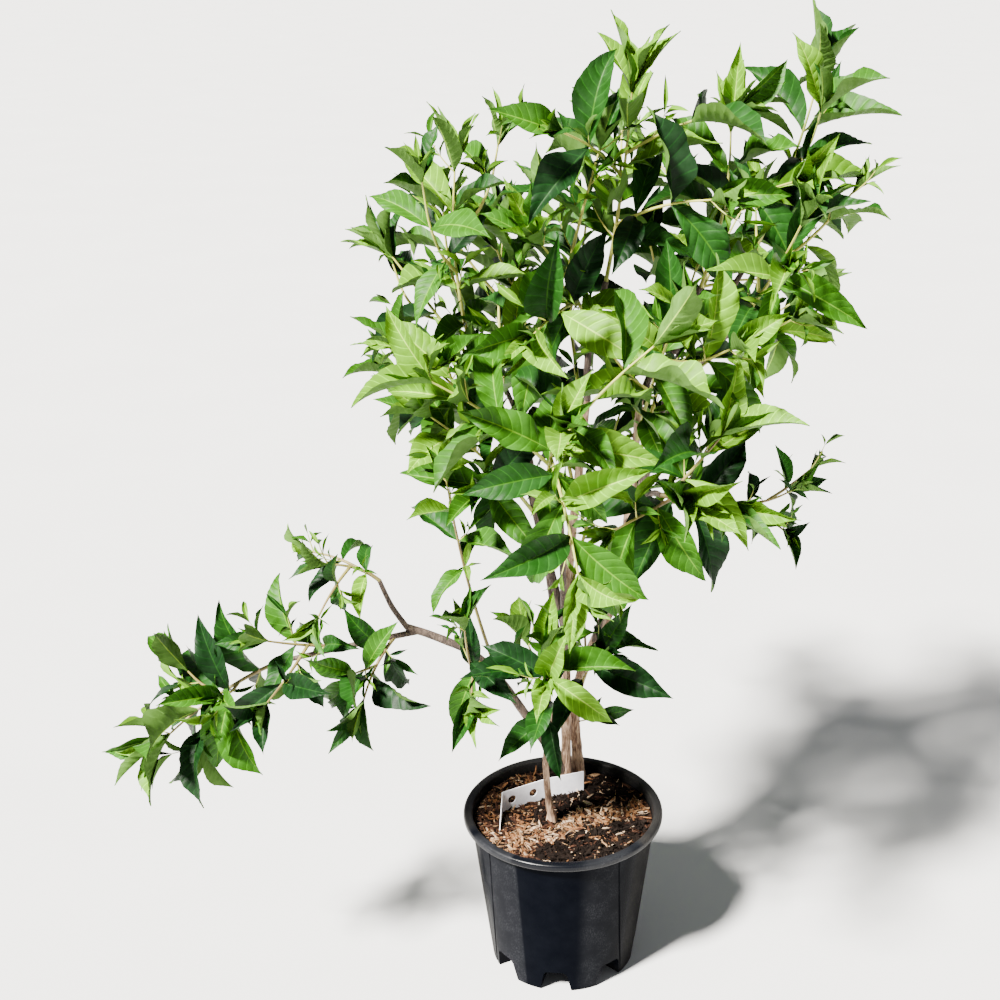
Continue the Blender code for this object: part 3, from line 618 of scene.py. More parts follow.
def joined_mesh(name, copies, sharp_angle, creases=()):
    """One mesh of many copies, each its points and its Faces. creases tells which points are in a crease."""
    points, corners, starts, slots = [], [], [], []
    point_count = corner_count = 0
    for places, faces in copies:
        points.append(places)
        corners.append(faces.corners + point_count)
        starts.append(faces.starts + corner_count)
        slots.append(faces.slots)
        point_count += len(places)
        corner_count += len(faces.corners)
    mesh = bpy.data.meshes.new(name)
    mesh.vertices.add(point_count)
    mesh.vertices.foreach_set("co", np.concatenate(points).astype(np.float32).ravel())
    mesh.loops.add(corner_count)
    mesh.loops.foreach_set("vertex_index", np.concatenate(corners).astype(np.int32))
    mesh.polygons.add(sum(len(s) for s in starts))
    mesh.polygons.foreach_set("loop_start", np.concatenate(starts).astype(np.int32))
    mesh.polygons.foreach_set("material_index", np.concatenate(slots).astype(np.int32))
    mesh.update(calc_edges=True)
    mesh.validate()
    mesh.shade_smooth()
    mesh.set_sharp_from_angle(angle=math.radians(sharp_angle))
    if len(creases):
        crease_edges(mesh, np.concatenate(creases))
    return mesh


def crease_edges(mesh, in_crease):
    """Marks sharp each edge that runs from one point in a crease to another."""
    ends = np.empty(len(mesh.edges) * 2, np.int32)
    mesh.edges.foreach_get("vertices", ends)
    sharp = np.empty(len(mesh.edges), bool)
    mesh.attributes["sharp_edge"].data.foreach_get("value", sharp)
    sharp |= in_crease[ends].reshape(-1, 2).all(axis=1)
    mesh.attributes["sharp_edge"].data.foreach_set("value", sharp)


# Curves through space


def spline(knees, steps):
    """Points of a smooth line that passes through knees, with steps spans between each two."""
    ends = [knees[0] * 2 - knees[1], *knees, knees[-1] * 2 - knees[-2]]
    line = []
    for a, b, c, d in zip(ends, ends[1:], ends[2:], ends[3:]):
        slope, bow, twist = c - a, 2 * a - 5 * b + 4 * c - d, 3 * b - a - 3 * c + d
        for k in range(steps):
            t = k / steps
            line.append(b + 0.5 * (slope * t + bow * t**2 + twist * t**3))
    return [*line, knees[-1]]


def arc_through(start, middle, end, steps):
    """Points of a quadratic curve from start to end that middle pulls to itself."""
    shares = [k / steps for k in range(steps + 1)]
    return [start * (1 - t) ** 2 + middle * 2 * t * (1 - t) + end * t**2 for t in shares]


def place_on(line, share):
    """The point at that share of the line's spans, and the way the line runs there."""
    at = min(share, 0.9999) * (len(line) - 1)
    k = int(at)
    return line[k].lerp(line[k + 1], at - k), (line[k + 1] - line[k]).normalized()


def across(direction, turn):
    """The unit vector at right angles to direction that is turned that far round it."""
    side = direction.cross(Vector((0.31, -0.9, 0.21))).normalized()
    return Matrix.Rotation(turn, 3, direction) @ side


def tube_shape(line, radii, resolution):
    """A tube along line, made as a bevelled curve with filled caps."""
    curve = bpy.data.curves.new("tube", "CURVE")
    curve.dimensions = "3D"
    curve.bevel_depth = 1.0
    curve.bevel_resolution = resolution
    curve.use_fill_caps = True
    path = curve.splines.new("POLY")
    path.points.add(len(line) - 1)
    for point, place, radius in zip(path.points, line, radii):
        point.co = (*place, 1)
        point.radius = radius
    holder = bpy.data.objects.new("tube", curve)
    mesh = bpy.data.meshes.new_from_object(holder)
    bm = bmesh.new()
    bm.from_mesh(mesh)
    bmesh.ops.remove_doubles(bm, verts=bm.verts, dist=0.00002)
    bpy.data.objects.remove(holder)
    bpy.data.curves.remove(curve)
    bpy.data.meshes.remove(mesh)
    return bm


# Pot, mulch and tag


def wall_radius(z):
    """The outside of the pot's wall at a height."""
    return WALL_FOOT_RADIUS + (WALL_TOP_RADIUS - WALL_FOOT_RADIUS) * z / UNDER_RIM


def turned(name, profile):
    """The mesh that a profile of (radius, height) points sweeps round Z."""
    bm = bmesh.new()
    verts = [bm.verts.new((r, 0, z)) for r, z in profile]
    edges = [bm.edges.new(pair) for pair in zip(verts, verts[1:])]
    bmesh.ops.spin(
        bm, geom=verts + edges, axis=UP, cent=(0, 0, 0), angle=math.tau, steps=POT_STEPS,
        use_merge=True, use_duplicate=False,
    )
    bmesh.ops.remove_doubles(bm, verts=bm.verts, dist=0.00001)
    return mesh_from(bm, name)


def notch_shape(turn):
    """A channel that narrows and lowers from the pot's side to its flat middle."""
    bm = bmesh.new()
    bmesh.ops.create_cube(bm, size=2)
    outer, inner = WALL_FOOT_RADIUS * 1.2, FLOOR_RADIUS
    slope = NOTCH_HEIGHT / (WALL_FOOT_RADIUS - inner)
    for vertex in bm.verts:
        outside, above = vertex.co.x > 0, vertex.co.z > 0
        width = NOTCH_TOP_WIDTH if above else NOTCH_FOOT_WIDTH
        top = slope * (outer - inner) if outside else 0.0005
        vertex.co.x = outer if outside else inner
        vertex.co.y *= width / 2 * (1.0 if outside else 0.6)
        vertex.co.z = top if above else -0.002
    top_edges = [edge for edge in bm.edges if all(vertex.co.z > 0 for vertex in edge.verts)]
    ridges = [edge for edge in top_edges if edge.verts[0].co.y * edge.verts[1].co.y > 0]
    bmesh.ops.bevel(bm, geom=ridges, offset=NOTCH_ROUNDING, segments=2, profile=0.5, affect="EDGES")
    bmesh.ops.rotate(bm, verts=bm.verts, cent=(0, 0, 0), matrix=Matrix.Rotation(turn, 3, "Z"))
    return bm


def groove_line(side, facing):
    """The edge of a panel: a line up the wall at a fixed distance from the panel's middle plane."""
    outward = Vector((math.cos(PANEL_TURN), math.sin(PANEL_TURN), 0)) * facing
    sideways = Vector((-math.sin(PANEL_TURN), math.cos(PANEL_TURN), 0)) * side
    line = []
    for share in (-0.02, 0.35, 0.7, 1.02):
        z = share * UNDER_RIM
        depth = math.sqrt(wall_radius(z) ** 2 - PANEL_HALF_WIDTH**2)
        line.append(outward * depth + sideways * PANEL_HALF_WIDTH + UP * z)
    return line


def cut(obj, cutters):
    """Takes each of the cutters away from obj, and then removes them."""
    for cutter in cutters:
        modifier = obj.modifiers.new("Cut", "BOOLEAN")
        modifier.operation = "DIFFERENCE"
        modifier.object = cutter
        modifier.solver = "EXACT"
    bpy.context.view_layer.update()
    graph = bpy.context.evaluated_depsgraph_get()
    made = bpy.data.meshes.new_from_object(obj.evaluated_get(graph))
    obj.modifiers.clear()
    obj.data = made
    for cutter in cutters:
        bpy.data.objects.remove(cutter)


def rounded_corner(centre, first, last, steps=6):
    """Points of a rim corner in (radius, height), turned about centre from one angle to another."""
    turns = [math.radians(first + (last - first) * k / steps) for k in range(steps + 1)]
    return [(centre[0] + RIM_ROUNDING * math.cos(t), centre[1] + RIM_ROUNDING * math.sin(t)) for t in turns]


def build_pot():
    """The pot with a rounded rim, a soft step under it, notches and grooves."""
    channel_top = NOTCH_HEIGHT + WALL
    outer = RIM_RADIUS - RIM_ROUNDING
    inner = RIM_RADIUS - RIM_WIDTH + RIM_ROUNDING * 0.6
    profile = [
        (0, 0),
        (FLOOR_RADIUS, 0),
        (WALL_FOOT_RADIUS - 0.001, 0),
        (wall_radius(0.0012), 0.0012),
        *((wall_radius(UNDER_RIM * k / 8), UNDER_RIM * k / 8) for k in range(1, 8)),
        (wall_radius(UNDER_RIM) + 0.0004, UNDER_RIM - 0.001),
        (WALL_TOP_RADIUS + 0.0014, UNDER_RIM),
        *rounded_corner((outer, UNDER_RIM + RIM_ROUNDING), -80, 0),
        *rounded_corner((outer, POT_HEIGHT - RIM_ROUNDING), 0, 90),
        *rounded_corner((inner, POT_HEIGHT - RIM_ROUNDING), 90, 165, 4),
        (WALL_TOP_RADIUS - WALL, UNDER_RIM - WALL),
        (wall_radius(channel_top) - WALL, channel_top),
        (FLOOR_RADIUS, FLOOR),
        (0, FLOOR),
    ]
    finishes = [pot_material("pot_wall", 0.008), pot_material("pot_rim", 0.13)]
    pot = link("pot_shell", turned("pot_shell", profile), finishes)
    cutters = []
    for k in range(NOTCHES):
        shape = notch_shape(NOTCH_TURN + k * math.tau / NOTCHES)
        cutters.append(link(f"notch_cutter_{k}", mesh_from(shape, "notch_cutter")))
    for side in (-1, 1):
        for facing in (-1, 1):
            line = groove_line(side, facing)
            groove = mesh_from(tube_shape(line, [GROOVE_RADIUS] * len(line), 2), "groove_cutter")
            cutters.append(link(f"groove_cutter_{side}_{facing}", groove))
    cut(pot, cutters)
    for face in pot.data.polygons:
        face.material_index = int(face.center.z > UNDER_RIM - 0.0005)
    pot.data.shade_smooth()
    pot.data.set_sharp_from_angle(angle=math.radians(32))
    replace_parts(ride(pot), "pot")


def splinter(length, width, thickness, chance):
    """Points of a chip: squarish rings along it, bent, tapered and ragged."""
    rings = []
    for share, taper in CHIP_RINGS:
        size = taper * chance.uniform(0.7, 1.15)
        bow = length * 0.08 * math.sin(math.pi * share) * chance.uniform(-1, 1)
        for y, z in ((-1, -1), (1, -1), (1, 1), (-1, 1)):
            ragged = size * chance.uniform(0.75, 1.2)
            x = (share - 0.5 + chance.uniform(-0.05, 0.05)) * length
            rings.append((x, y * width / 2 * ragged + bow, z * thickness / 2 * ragged))
    return np.array(rings)


def wall_rows(count, sides, slot):
    """The faces between a tube's rings, each its corners and its slot."""
    rows = []
    for k in range(count - 1):
        for c in range(sides):
            a, b = k * sides + c, k * sides + (c + 1) % sides
            rows.append(((a, b, b + sides, a + sides), slot))
    return rows


def chip_faces(slot):
    """The faces of a splinter."""
    return faces_of([((3, 2, 1, 0), slot), ((12, 13, 14, 15), slot), *wall_rows(4, 4, slot)])


def mulch_rise(x, y):
    """How high the heap of bark stands over its level at a place."""
    hills = noise.noise(Vector((x * 28, y * 28, 3.1)))
    lumps = noise.noise(Vector((x * 70, y * 70, 8.4)))
    return CHIP_RISE * (0.42 + 0.28 * hills + 0.14 * lumps)


def shade_of_chip(x, y, chance):
    """Which shade a chip has: tan and orange ones lie in a strip across the middle as a painted pool of
    sunlight, dark ones beside it as painted shadow.
    """
    wander = noise.noise(Vector((x * 34, y * 34, 5.7))) * 0.018
    if abs(y - SUNLIT_STRIP_SLOPE * x + SUNLIT_STRIP_DROP + wander) < SUNLIT_STRIP_HALF_WIDTH:
        shares = SUNLIT_STRIP_SHARES
    elif x < LEFT_PART_END:
        shares = PARTLY_LIT_LEFT_SHARES
    else:
        shares = SHADOWED_SHARES
    return chance.choices(range(len(CHIP_SHADES)), shares)[0]


def near_tag(x, y):
    """Whether a chip would bury the foot of the tag."""
    place = Vector((x, y))
    for start, end in zip(TAG_LINE, TAG_LINE[1:]):
        a, b = Vector(start), Vector(end)
        share = min(1, max(0, (place - a).dot(b - a) / (b - a).length_squared))
        if (place - a.lerp(b, share)).length < TAG_CLEAR:
            return True
    return False


def build_mulch():
    """The level potting mix stays, under a heap of bark chips and fibres that are one mesh."""
    refinish("mulch", soil_material())
    chance = random.Random(MULCH_SEED)
    reach = wall_radius(MULCH_TOP) - WALL - MULCH_CLEAR
    faces = [chip_faces(slot) for slot in range(len(CHIP_SHADES))]
    copies = []
    for k in range(CHIPS + FIBRES):
        fibre = k >= CHIPS
        length = chance.uniform(*CHIP_LENGTH) * (0.9 if fibre else 1)
        width = chance.uniform(*(FIBRE_WIDTH if fibre else CHIP_WIDTH))
        thickness = width if fibre else min(width * 0.8, chance.uniform(*CHIP_THICKNESS))
        away = (reach - length * 0.4) * math.sqrt(chance.random())
        turn = chance.uniform(0, math.tau)
        x, y = away * math.cos(turn), away * math.sin(turn)
        tilt = chance.gauss(0, CHIP_TILT)
        lean = Matrix.Rotation(chance.uniform(0, math.tau), 3, "Z") @ Matrix.Rotation(tilt, 3, "Y")
        lean = lean @ Matrix.Rotation(chance.gauss(0, CHIP_ROLL), 3, "X")
        shape = splinter(length, width, thickness, chance) @ np.array(lean.transposed())
        top = MULCH_TOP + mulch_rise(x, y) * chance.uniform(0.25, 1.0) + (0.001 if fibre else 0)
        if near_tag(x, y):
            top = MULCH_TOP - 0.0005
        shape += np.array((x, y, top))
        shape[:, 2] = shape[:, 2].clip(MULCH_TOP - 0.001, MULCH_TOP + CHIP_RISE + 0.006)
        far = np.hypot(shape[:, 0], shape[:, 1])
        shape[:, :2] *= np.minimum(1, reach / far)[:, None]
        copies.append((shape, faces[shade_of_chip(x, y, chance)]))
    shades = [chip_material(*shade) for shade in CHIP_SHADES]
    ride(link("bark_chips", joined_mesh("bark_chips", copies, 30), shades))


# Limbs


def limb_radii(limb, count):
    """The radius at each of a limb's points. A stem flares where it enters the mulch."""
    radii = []
    for k in range(count):
        share = k / (count - 1)
        radius = limb.foot_radius + (limb.tip_radius - limb.foot_radius) * share
        if not limb.host:
            radius += limb.foot_radius * ROOT_FLARE * max(0.0, 1 - share / 0.07) ** 2
        radii.append(radius)
    return radii


def limb_line(limb, lines):
    """The points of a limb, from the middle of its host or from the mulch, to its tip."""
    knees = [Vector(knee) for knee in limb.knees]
    if limb.host:
        knees.insert(0, place_on(lines[limb.host], limb.at)[0])
        return spline(knees, 2)
    foot = knees[0]
    foot.z = MULCH_TOP + GAP
    line = spline(knees, 4)
    flare = foot + UP * 0.012
    return [foot, flare, *line[1:]]


def limb_solid(line, radii):
    """A limb grown by the gap: what springs from it keeps off this."""
    grow = GAP * 1.25
    last = (line[-1] - line[-2]).normalized()
    longer = [*line[:-1], line[-1] + last * grow]
    return solid_of(tube_shape(longer, [r + grow for r in radii], 1))


def walk(line, step):
    """Points about step metres apart along a smooth line through line's points, and each one's share."""
    fine = spline(line, 12)
    lengths = np.cumsum([0, *((b - a).length for a, b in zip(fine, fine[1:]))])
    count = max(4, round(lengths[-1] / step))
    shares = np.linspace(0, 1, count + 1)
    places = np.array([tuple(p) for p in fine])
    at = shares * lengths[-1]
    return np.stack([np.interp(at, lengths, places[:, k]) for k in range(3)], 1), shares


def rings_along(places, radii, sides, relief=0.0, seed=0.0, furrow=0.0):
    """Points of a tube along places, with its bark's relief and, between two strands, its winding furrow."""
    ways = np.gradient(places, axis=0)
    ways /= np.linalg.norm(ways, axis=1, keepdims=True)
    side = np.cross(ways[0], (0.31, -0.9, 0.21))
    points = []
    for place, way, radius in zip(places, ways, radii):
        side = side - way * side.dot(way)
        side /= np.linalg.norm(side)
        other = np.cross(way, side)
        for c in range(sides):
            turn = math.tau * c / sides
            out = side * math.cos(turn) + other * math.sin(turn)
            bulge = 1 - furrow * (1 - abs(math.cos(turn + place[2] * FURROW_WINDING))) ** 1.5
            if relief:
                at = Vector((math.cos(turn) * 1.6, math.sin(turn) * 1.6, place[2] * 26 + seed))
                knots = Vector((math.cos(turn), math.sin(turn), place[2] * 60 + seed * 2))
                bulge += relief * (noise.noise(at * 1.7) + 0.5 * noise.noise(knots * 1.1))
            points.append(place + out * radius * bulge)
    return np.array([*points, places[0], places[-1]])


def ring_faces(count, sides, slot):
    """The faces of a tube of count rings, closed by a fan at each end."""
    first, last, end = count * sides, count * sides + 1, (count - 1) * sides
    rows = wall_rows(count, sides, slot)
    for c in range(sides):
        after = (c + 1) % sides
        rows += [((first, after, c), slot), ((last, end + c, end + after), slot)]
    return faces_of(rows)


def build_limbs():
    """Each stem and bough as a mesh with the relief of its bark. Returns their lines and their solids."""
    trunk = bark_material("bark_stem", (0.045, 0.022, 0.013), (0.2, 0.115, 0.068), (0.55, 0.38, 0.25))
    grey = bark_material("bark_bough", (0.018, 0.011, 0.008), (0.055, 0.036, 0.027), (0.16, 0.11, 0.082))
    lines, solids = {}, {}
    for number, limb in enumerate((*STEMS, *BOUGHS)):
        line = limb_line(limb, lines)
        radii = limb_radii(limb, len(line))
        lines[limb.name] = line
        solids[limb.name] = limb_solid(line, radii)
        places, shares = walk(line, BARK_STEP)
        widths = np.interp(shares, np.linspace(0, 1, len(line)), radii)
        furrow = FURROWS.get(limb.name, 0.0)
        points = rings_along(places, widths, BARK_SIDES, BARK_RELIEF, number * BARK_SEED_STEP, furrow)
        name = limb.name + "_bark"
        mesh = joined_mesh(name, [(points, ring_faces(len(places), BARK_SIDES, 0))], 60)
        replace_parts(ride(link(name, mesh, [grey if limb.host else trunk])), limb.name)
    return lines, solids


# How shoots and leaves grow


def grow_shoots(mass, lines, chance):
    """The leader of a mass, from its host to the mass's tip, and the side shoots that it bears."""
    start, host_way = place_on(lines[mass.host], mass.at)
    tip = Vector(mass.tip)
    reach = tip - start
    follow = HOST_PULL_AT_TIP if mass.at == 1 else HOST_PULL
    set_off = (host_way * follow + reach.normalized()).normalized()
    leader = arc_through(start, start + set_off * reach.length * 0.5, tip, LEADER_STEPS)
    shoots = [Shoot(leader, LEADER_FOOT, TWIG_TIP)]
    first_turn = chance.uniform(0, math.tau)
    for k in range(mass.sides):
        foot, way = place_on(leader, 0.25 + 0.5 * (k + 0.5) / mass.sides)
        turn = first_turn + k * GOLDEN_ANGLE
        length = mass.side_length * chance.uniform(0.85, 1.15)
        out = (way * 0.75 + across(way, turn)).normalized()
        end = foot + (out + UP * mass.rise).normalized() * length
        side = arc_through(foot, foot + out * length * 0.5, end, SIDE_STEPS)
        shoots.append(Shoot(side, TWIG_FOOT, TWIG_TIP))
    return shoots


def pair_places(shoot, mass, number, chance):
    """Where the opposite pairs of leaves stand up a mass's shoot of that number, each a quarter turn on."""
    line = shoot.points
    length = sum((b - a).length for a, b in zip(line, line[1:]))
    first = min(0.6, (SIDE_BARE if number else mass.bare) / length)
    pairs = max(2, round(length * (1 - first) / INTERNODE) + 1)
    turn = chance.uniform(0, math.pi)
    places = []
    for k in range(pairs):
        share = k / (pairs - 1)
        root, way = place_on(line, first + (1 - first) * share * 0.985)
        size = mass.leaf * (0.78 + 0.32 * math.sin(math.pi * (0.15 + 0.7 * share)) - 0.12 * share**3)
        places.append(PairPlace(root, way, turn + k * math.pi / 2, size, share))
    return places


def leaf_at(place, swing, length, bend):
    """One leaf of a pair, swung round its shoot. Its face looks up the shoot and to the light."""
    out = across(place.way, place.turn + swing)
    opening = OPENING_LOW + (OPENING_HIGH - OPENING_LOW) * place.share**1.5
    along = (place.way * math.cos(opening) + out * math.sin(opening)).normalized()
    face = place.way * math.sin(opening) - out * math.cos(opening)
    normal = face * (0.45 + 0.5 * place.share) + LIGHT_FROM * LIGHT_PULL
    normal = (normal - along * normal.dot(along)).normalized()
    return Leaf(place.root + out * ROOT_OFF_AXIS, along, normal, length, bend * (1.15 - 0.5 * place.share))


def leaf_outline(share):
    """A leaf's half width at a share of its length, as a part of its greatest half width."""
    return math.sin(math.pi * share**0.86) ** 0.8 if 0 < share < 1 else 0.0


def leaf_place(leaf, share, side, lift):
    """The point of a leaf at a share of its length, side metres off its rib and lift above it."""
    angle = leaf.bend * share
    run = leaf.length * math.sin(angle) / leaf.bend
    drop = leaf.length * (1 - math.cos(angle)) / leaf.bend
    normal = leaf.normal * math.cos(angle) + leaf.along * math.sin(angle)
    sideways = leaf.normal.cross(leaf.along)
    rib = leaf.root + leaf.along * run - leaf.normal * drop
    return rib + sideways * side * math.cos(LEAF_FOLD) + normal * (lift + abs(side) * math.sin(LEAF_FOLD))


def leaf_shape(leaf, trim=0.0):
    """A folded, drooping blade of twelve faces, with room round it, made from a six-sided double cone."""
    bm = bmesh.new()
    bmesh.ops.create_uvsphere(bm, u_segments=6, v_segments=2, radius=1)
    half_width = leaf.length * LEAF_WIDTH / 2
    for vertex in bm.verts:
        x, y, z = vertex.co
        share = trim + (1 - trim) * (0.5 + 0.5 * y)
        side = 0.0
        if abs(x) > 0.1:
            side = math.copysign(half_width * leaf_outline(share) + KEEP_OFF, x)
        lift = z * (leaf.length * LEAF_THICKNESS / 2 + KEEP_OFF)
        vertex.co = leaf_place(leaf, share, side, lift)
    return bm


def twig_shape(shoot, trim=0):
    """A three-sided twig along a shoot, with room round it, from a cone cut into rings and bent."""
    line = shoot.points[trim:]
    steps = len(line) - 1
    bm = bmesh.new()
    bmesh.ops.create_cone(bm, cap_ends=True, segments=3, radius1=1, radius2=1, depth=1)
    long_edges = [e for e in bm.edges if abs(e.verts[0].co.z - e.verts[1].co.z) > 0.5]
    bmesh.ops.subdivide_edges(bm, edges=long_edges, cuts=steps - 1, use_grid_fill=True)
    side = across((line[-1] - line[0]).normalized(), 0)
    for vertex in bm.verts:
        share = vertex.co.z + 0.5
        k = min(round(share * steps), steps)
        way = (line[min(k + 1, steps)] - line[max(k - 1, 0)]).normalized()
        x_axis = (side - way * side.dot(way)).normalized()
        radius = shoot.foot_radius + (shoot.tip_radius - shoot.foot_radius) * share + KEEP_OFF
        vertex.co = line[k] + (x_axis * vertex.co.x + way.cross(x_axis) * vertex.co.y) * radius
    return bm


# How they keep off each other


class Solid(NamedTuple):
    """A shape that others keep off: its middle, its reach and its faces."""

    middle: Vector
    reach: float
    tree: BVHTree


class Grown(NamedTuple):
    """A shoot or leaf: its mass, its shoot, and its solid whole and without its root."""

    mass: str
    shoot: int
    is_leaf: bool
    whole: Solid
    outer: Solid


def solid_of(bm):
    """What others keep off, from a mesh that is then freed."""
    places = [vertex.co.copy() for vertex in bm.verts]
    middle = sum(places, Vector()) / len(places)
    reach = max((place - middle).length for place in places)
    tree = BVHTree.FromBMesh(bm)
    bm.free()
    return Solid(middle, reach, tree)


def touch(one, other):
    """Whether two solids meet."""
    near = (one.middle - other.middle).length < one.reach + other.reach
    return near and bool(one.tree.overlap(other.tree))


def has_room(new, placed, limbs, host):
    """Whether a shoot or leaf keeps off the rest. Its root may meet what it springs from."""
    for name, limb in limbs.items():
        if touch(new.outer if name == host else new.whole, limb):
            return False
    for old in placed:
        kin = old.mass == new.mass and (old.shoot == new.shoot or not new.is_leaf)
        if touch(new.outer if kin else new.whole, old.whole):
            return False
    return True


def in_space(mass, leader, leaf):
    """Whether a leaf's tip is in its mass's own space, which reaches a fixed way from the leader."""
    tip = leaf_place(leaf, 1, 0, 0)
    return min((tip - point).length for point in leader.points) < mass.side_length + mass.leaf


def grow_twigs(mass, lines, limbs, placed):
    """A mass's shoots that find room, each with its number. placed gains them."""
    chance = random.Random(mass.seed)
    twigs = []
    for k, shoot in enumerate(grow_shoots(mass, lines, chance)):
        new = Grown(mass.name, k, False, solid_of(twig_shape(shoot)), solid_of(twig_shape(shoot, 1)))
        if has_room(new, placed, limbs, "" if k else mass.host):
            placed.append(new)
            twigs.append((k, shoot))
        elif not k:
            raise ValueError(f"the leader of {mass.name} has no room")
    return twigs


def grow_leaves(mass, twigs, limbs, placed):
    """The leaves of each of a mass's twigs that find room. placed gains them."""
    chance = random.Random(mass.seed)
    leader = twigs[0][1]
    grown = []
    for k, shoot in twigs:
        leaves = []
        for place in pair_places(shoot, mass, k, chance):
            for side in range(2):
                length = place.size * chance.uniform(0.86, 1.08)
                bend = BEND_DOWN * chance.uniform(0.6, 1.5)
                for swing in (0.0, LEAF_SWING, -LEAF_SWING):
                    leaf = leaf_at(place, side * math.pi + swing, length, bend)
                    whole, outer = solid_of(leaf_shape(leaf)), solid_of(leaf_shape(leaf, ROOT_SHARE))
                    new = Grown(mass.name, k, True, whole, outer)
                    if in_space(mass, leader, leaf) and has_room(new, placed, limbs, ""):
                        placed.append(new)
                        leaves.append(leaf)
                        break
        grown.append((k, shoot, leaves))
    return grown


# Full leaves


class Grid(NamedTuple):
    """A leaf's grid: each point's share up it, lane, sheet and vein sign, and the faces for each green."""

    shares: np.ndarray
    lanes: np.ndarray
    sheets: np.ndarray
    veins: np.ndarray
    faces: list


def veined_rows():
    """The rows of a large leaf: each one's share up it, and -1 at the two sides of a vein or 1 on a crest."""
    rows = [(0.0, 1)]
    for k in range(LEAF_VEINS):
        for step, sign in ((0.5 - VEIN_SHARE / 2, -1), (0.5 + VEIN_SHARE / 2, -1), (1.0, 1)):
            rows.append(((k + step) / LEAF_VEINS, sign))
    return rows


def plain_rows():
    """The rows of a small leaf, which has a vein at every other row."""
    return [(k / SMALL_ROWS, -1 if k % 2 else 1) for k in range(SMALL_ROWS + 1)]


def leaf_grid(levels):
    """A closed blade: an upper sheet, and a lower sheet that shares the upper one's margins."""
    shape = (len(levels), len(LANES))
    shares, signs = (np.array(column, float)[:, None] for column in zip(*levels))
    in_sheet = np.abs(LANES) < 1

    def spread(values, below):
        """What each point has: the values of the upper sheet, then those of the lower one times below."""
        whole = np.broadcast_to(values, shape)
        return np.concatenate([whole.ravel(), whole[:, 1:-1].ravel() * below])

    upper = np.arange(shape[0] * shape[1]).reshape(shape)
    lower = upper.copy()
    lower[:, 1:-1] = upper.size + np.arange(shape[0] * (shape[1] - 2)).reshape(shape[0], -1)
    rib = len(LANES) // 2 - 1
    faces = []
    for kind in range(len(BLADES)):
        table = []
        for k in range(len(levels) - 1):
            vein = levels[k][1] < 0 and levels[k + 1][1] < 0
            for c in range(len(LANES) - 1):
                near, far, far_on, near_on = (k, c), (k + 1, c), (k + 1, c + 1), (k, c + 1)
                blade = kind + 1 if c == rib else kind + VEIN_SLOT if vein else kind
                table.append(([upper[at] for at in (near, far, far_on, near_on)], blade))
                below = RIB_SLOT if c == rib else UNDERSIDE_SLOT
                table.append(([lower[at] for at in (near, near_on, far_on, far)], below))
        for k, step in ((0, 1), (-1, -1)):
            end = [*upper[k], *lower[k, -2:0:-1]]
            table.append((end[::step], UNDERSIDE_SLOT))
        faces.append(faces_of(table))
    return Grid(spread(shares, 1), spread(LANES, 1), spread(in_sheet, -1), spread(signs, 1), faces)


def full_outline(shares):
    """A blade's half width up the leaf: a short stalk, a full middle and a drawn-out tip."""
    blade = np.clip((shares - STALK) / (1 - STALK), 0, 1)
    body = np.sin(np.pi * blade**0.84) ** 1.05
    drawn = 1 - 0.42 * np.clip((blade - 0.72) / 0.28, 0, 1) ** 0.8
    return np.maximum(body * drawn, 0.022 * (1 - blade * 0.8))


def leaf_surface(leaf, grid, young, chance):
    """The points of a full leaf: it folds, droops, twists and waves, and its veins are pressed in."""
    size = leaf.length
    slim = LEAF_SLIM * (YOUNG_SLIM if young else 1.0)
    twist, recurve, sickle = (chance.uniform(*habit) for habit in (TWIST, RECURVE, SICKLE))
    wave, turns, phase = (chance.uniform(*habit) for habit in (WAVE_HEIGHT, WAVES, (0, math.tau)))
    fold = LEAF_FOLD * chance.uniform(*FOLDS) * (YOUNG_FOLD if young else 1.0)
    cup, lag = chance.uniform(*CUP), chance.uniform(*WAVE_LAG)
    lanes, wide = grid.lanes, np.abs(grid.lanes)
    on_rib = wide < RIB_REACH
    shares = grid.shares + VEIN_SWEEP * wide**1.25 * np.sin(np.pi * grid.shares**0.85)
    steps = np.linspace(0, 1, BEND_STEPS + 1)
    bends = leaf.bend * steps + recurve * np.clip(steps - RECURVE_FROM, 0, 1) ** 2
    angle = np.interp(shares, steps, bends)[:, None]
    along, normal = np.array(leaf.along), np.array(leaf.normal)
    sideways = np.cross(normal, along)
    here = normal * np.cos(angle) + along * np.sin(angle)
    turned_by = (twist * shares)[:, None]
    cross = sideways * np.cos(turned_by) + here * np.sin(turned_by)
    face = here * np.cos(turned_by) - sideways * np.sin(turned_by)
    half = size * LEAF_WIDTH / 2 * slim * full_outline(shares)
    side = half * lanes * np.where((wide == 1) & (grid.veins < 0), 1 - TOOTH, 1.0)
    bulge = grid.veins * np.sin(np.pi * np.clip(wide * 0.92, 0, 1)) * np.sin(np.pi * shares) ** 0.5
    ripple = np.sin(math.tau * turns * shares + phase + lag * lanes) * np.sin(np.pi * shares) ** 0.6
    lift = size * (VEIN_DEPTH * bulge + wave * wide**2 * ripple) + half * cup * wide**2.5
    lift -= np.where(on_rib, RIB_DEPTH * size, 0.0)
    lift += grid.sheets * size * BLADE_THICKNESS / 2 * np.where(on_rib & (grid.sheets < 0), 2.4, 1.0)
    rib = np.array(leaf.root) + sideways * (sickle * size * shares**2)[:, None]
    for way, turn in ((along, np.cos(bends)), (-normal, np.sin(bends))):
        run = np.concatenate([[0], np.cumsum(turn[:-1])]) / BEND_STEPS * size
        rib = rib + way * np.interp(shares, steps, run)[:, None]
    rise = lift + np.abs(side) * math.sin(fold)
    return rib + cross * (side * math.cos(fold))[:, None] + face * rise[:, None]


# Young tips and side sprigs


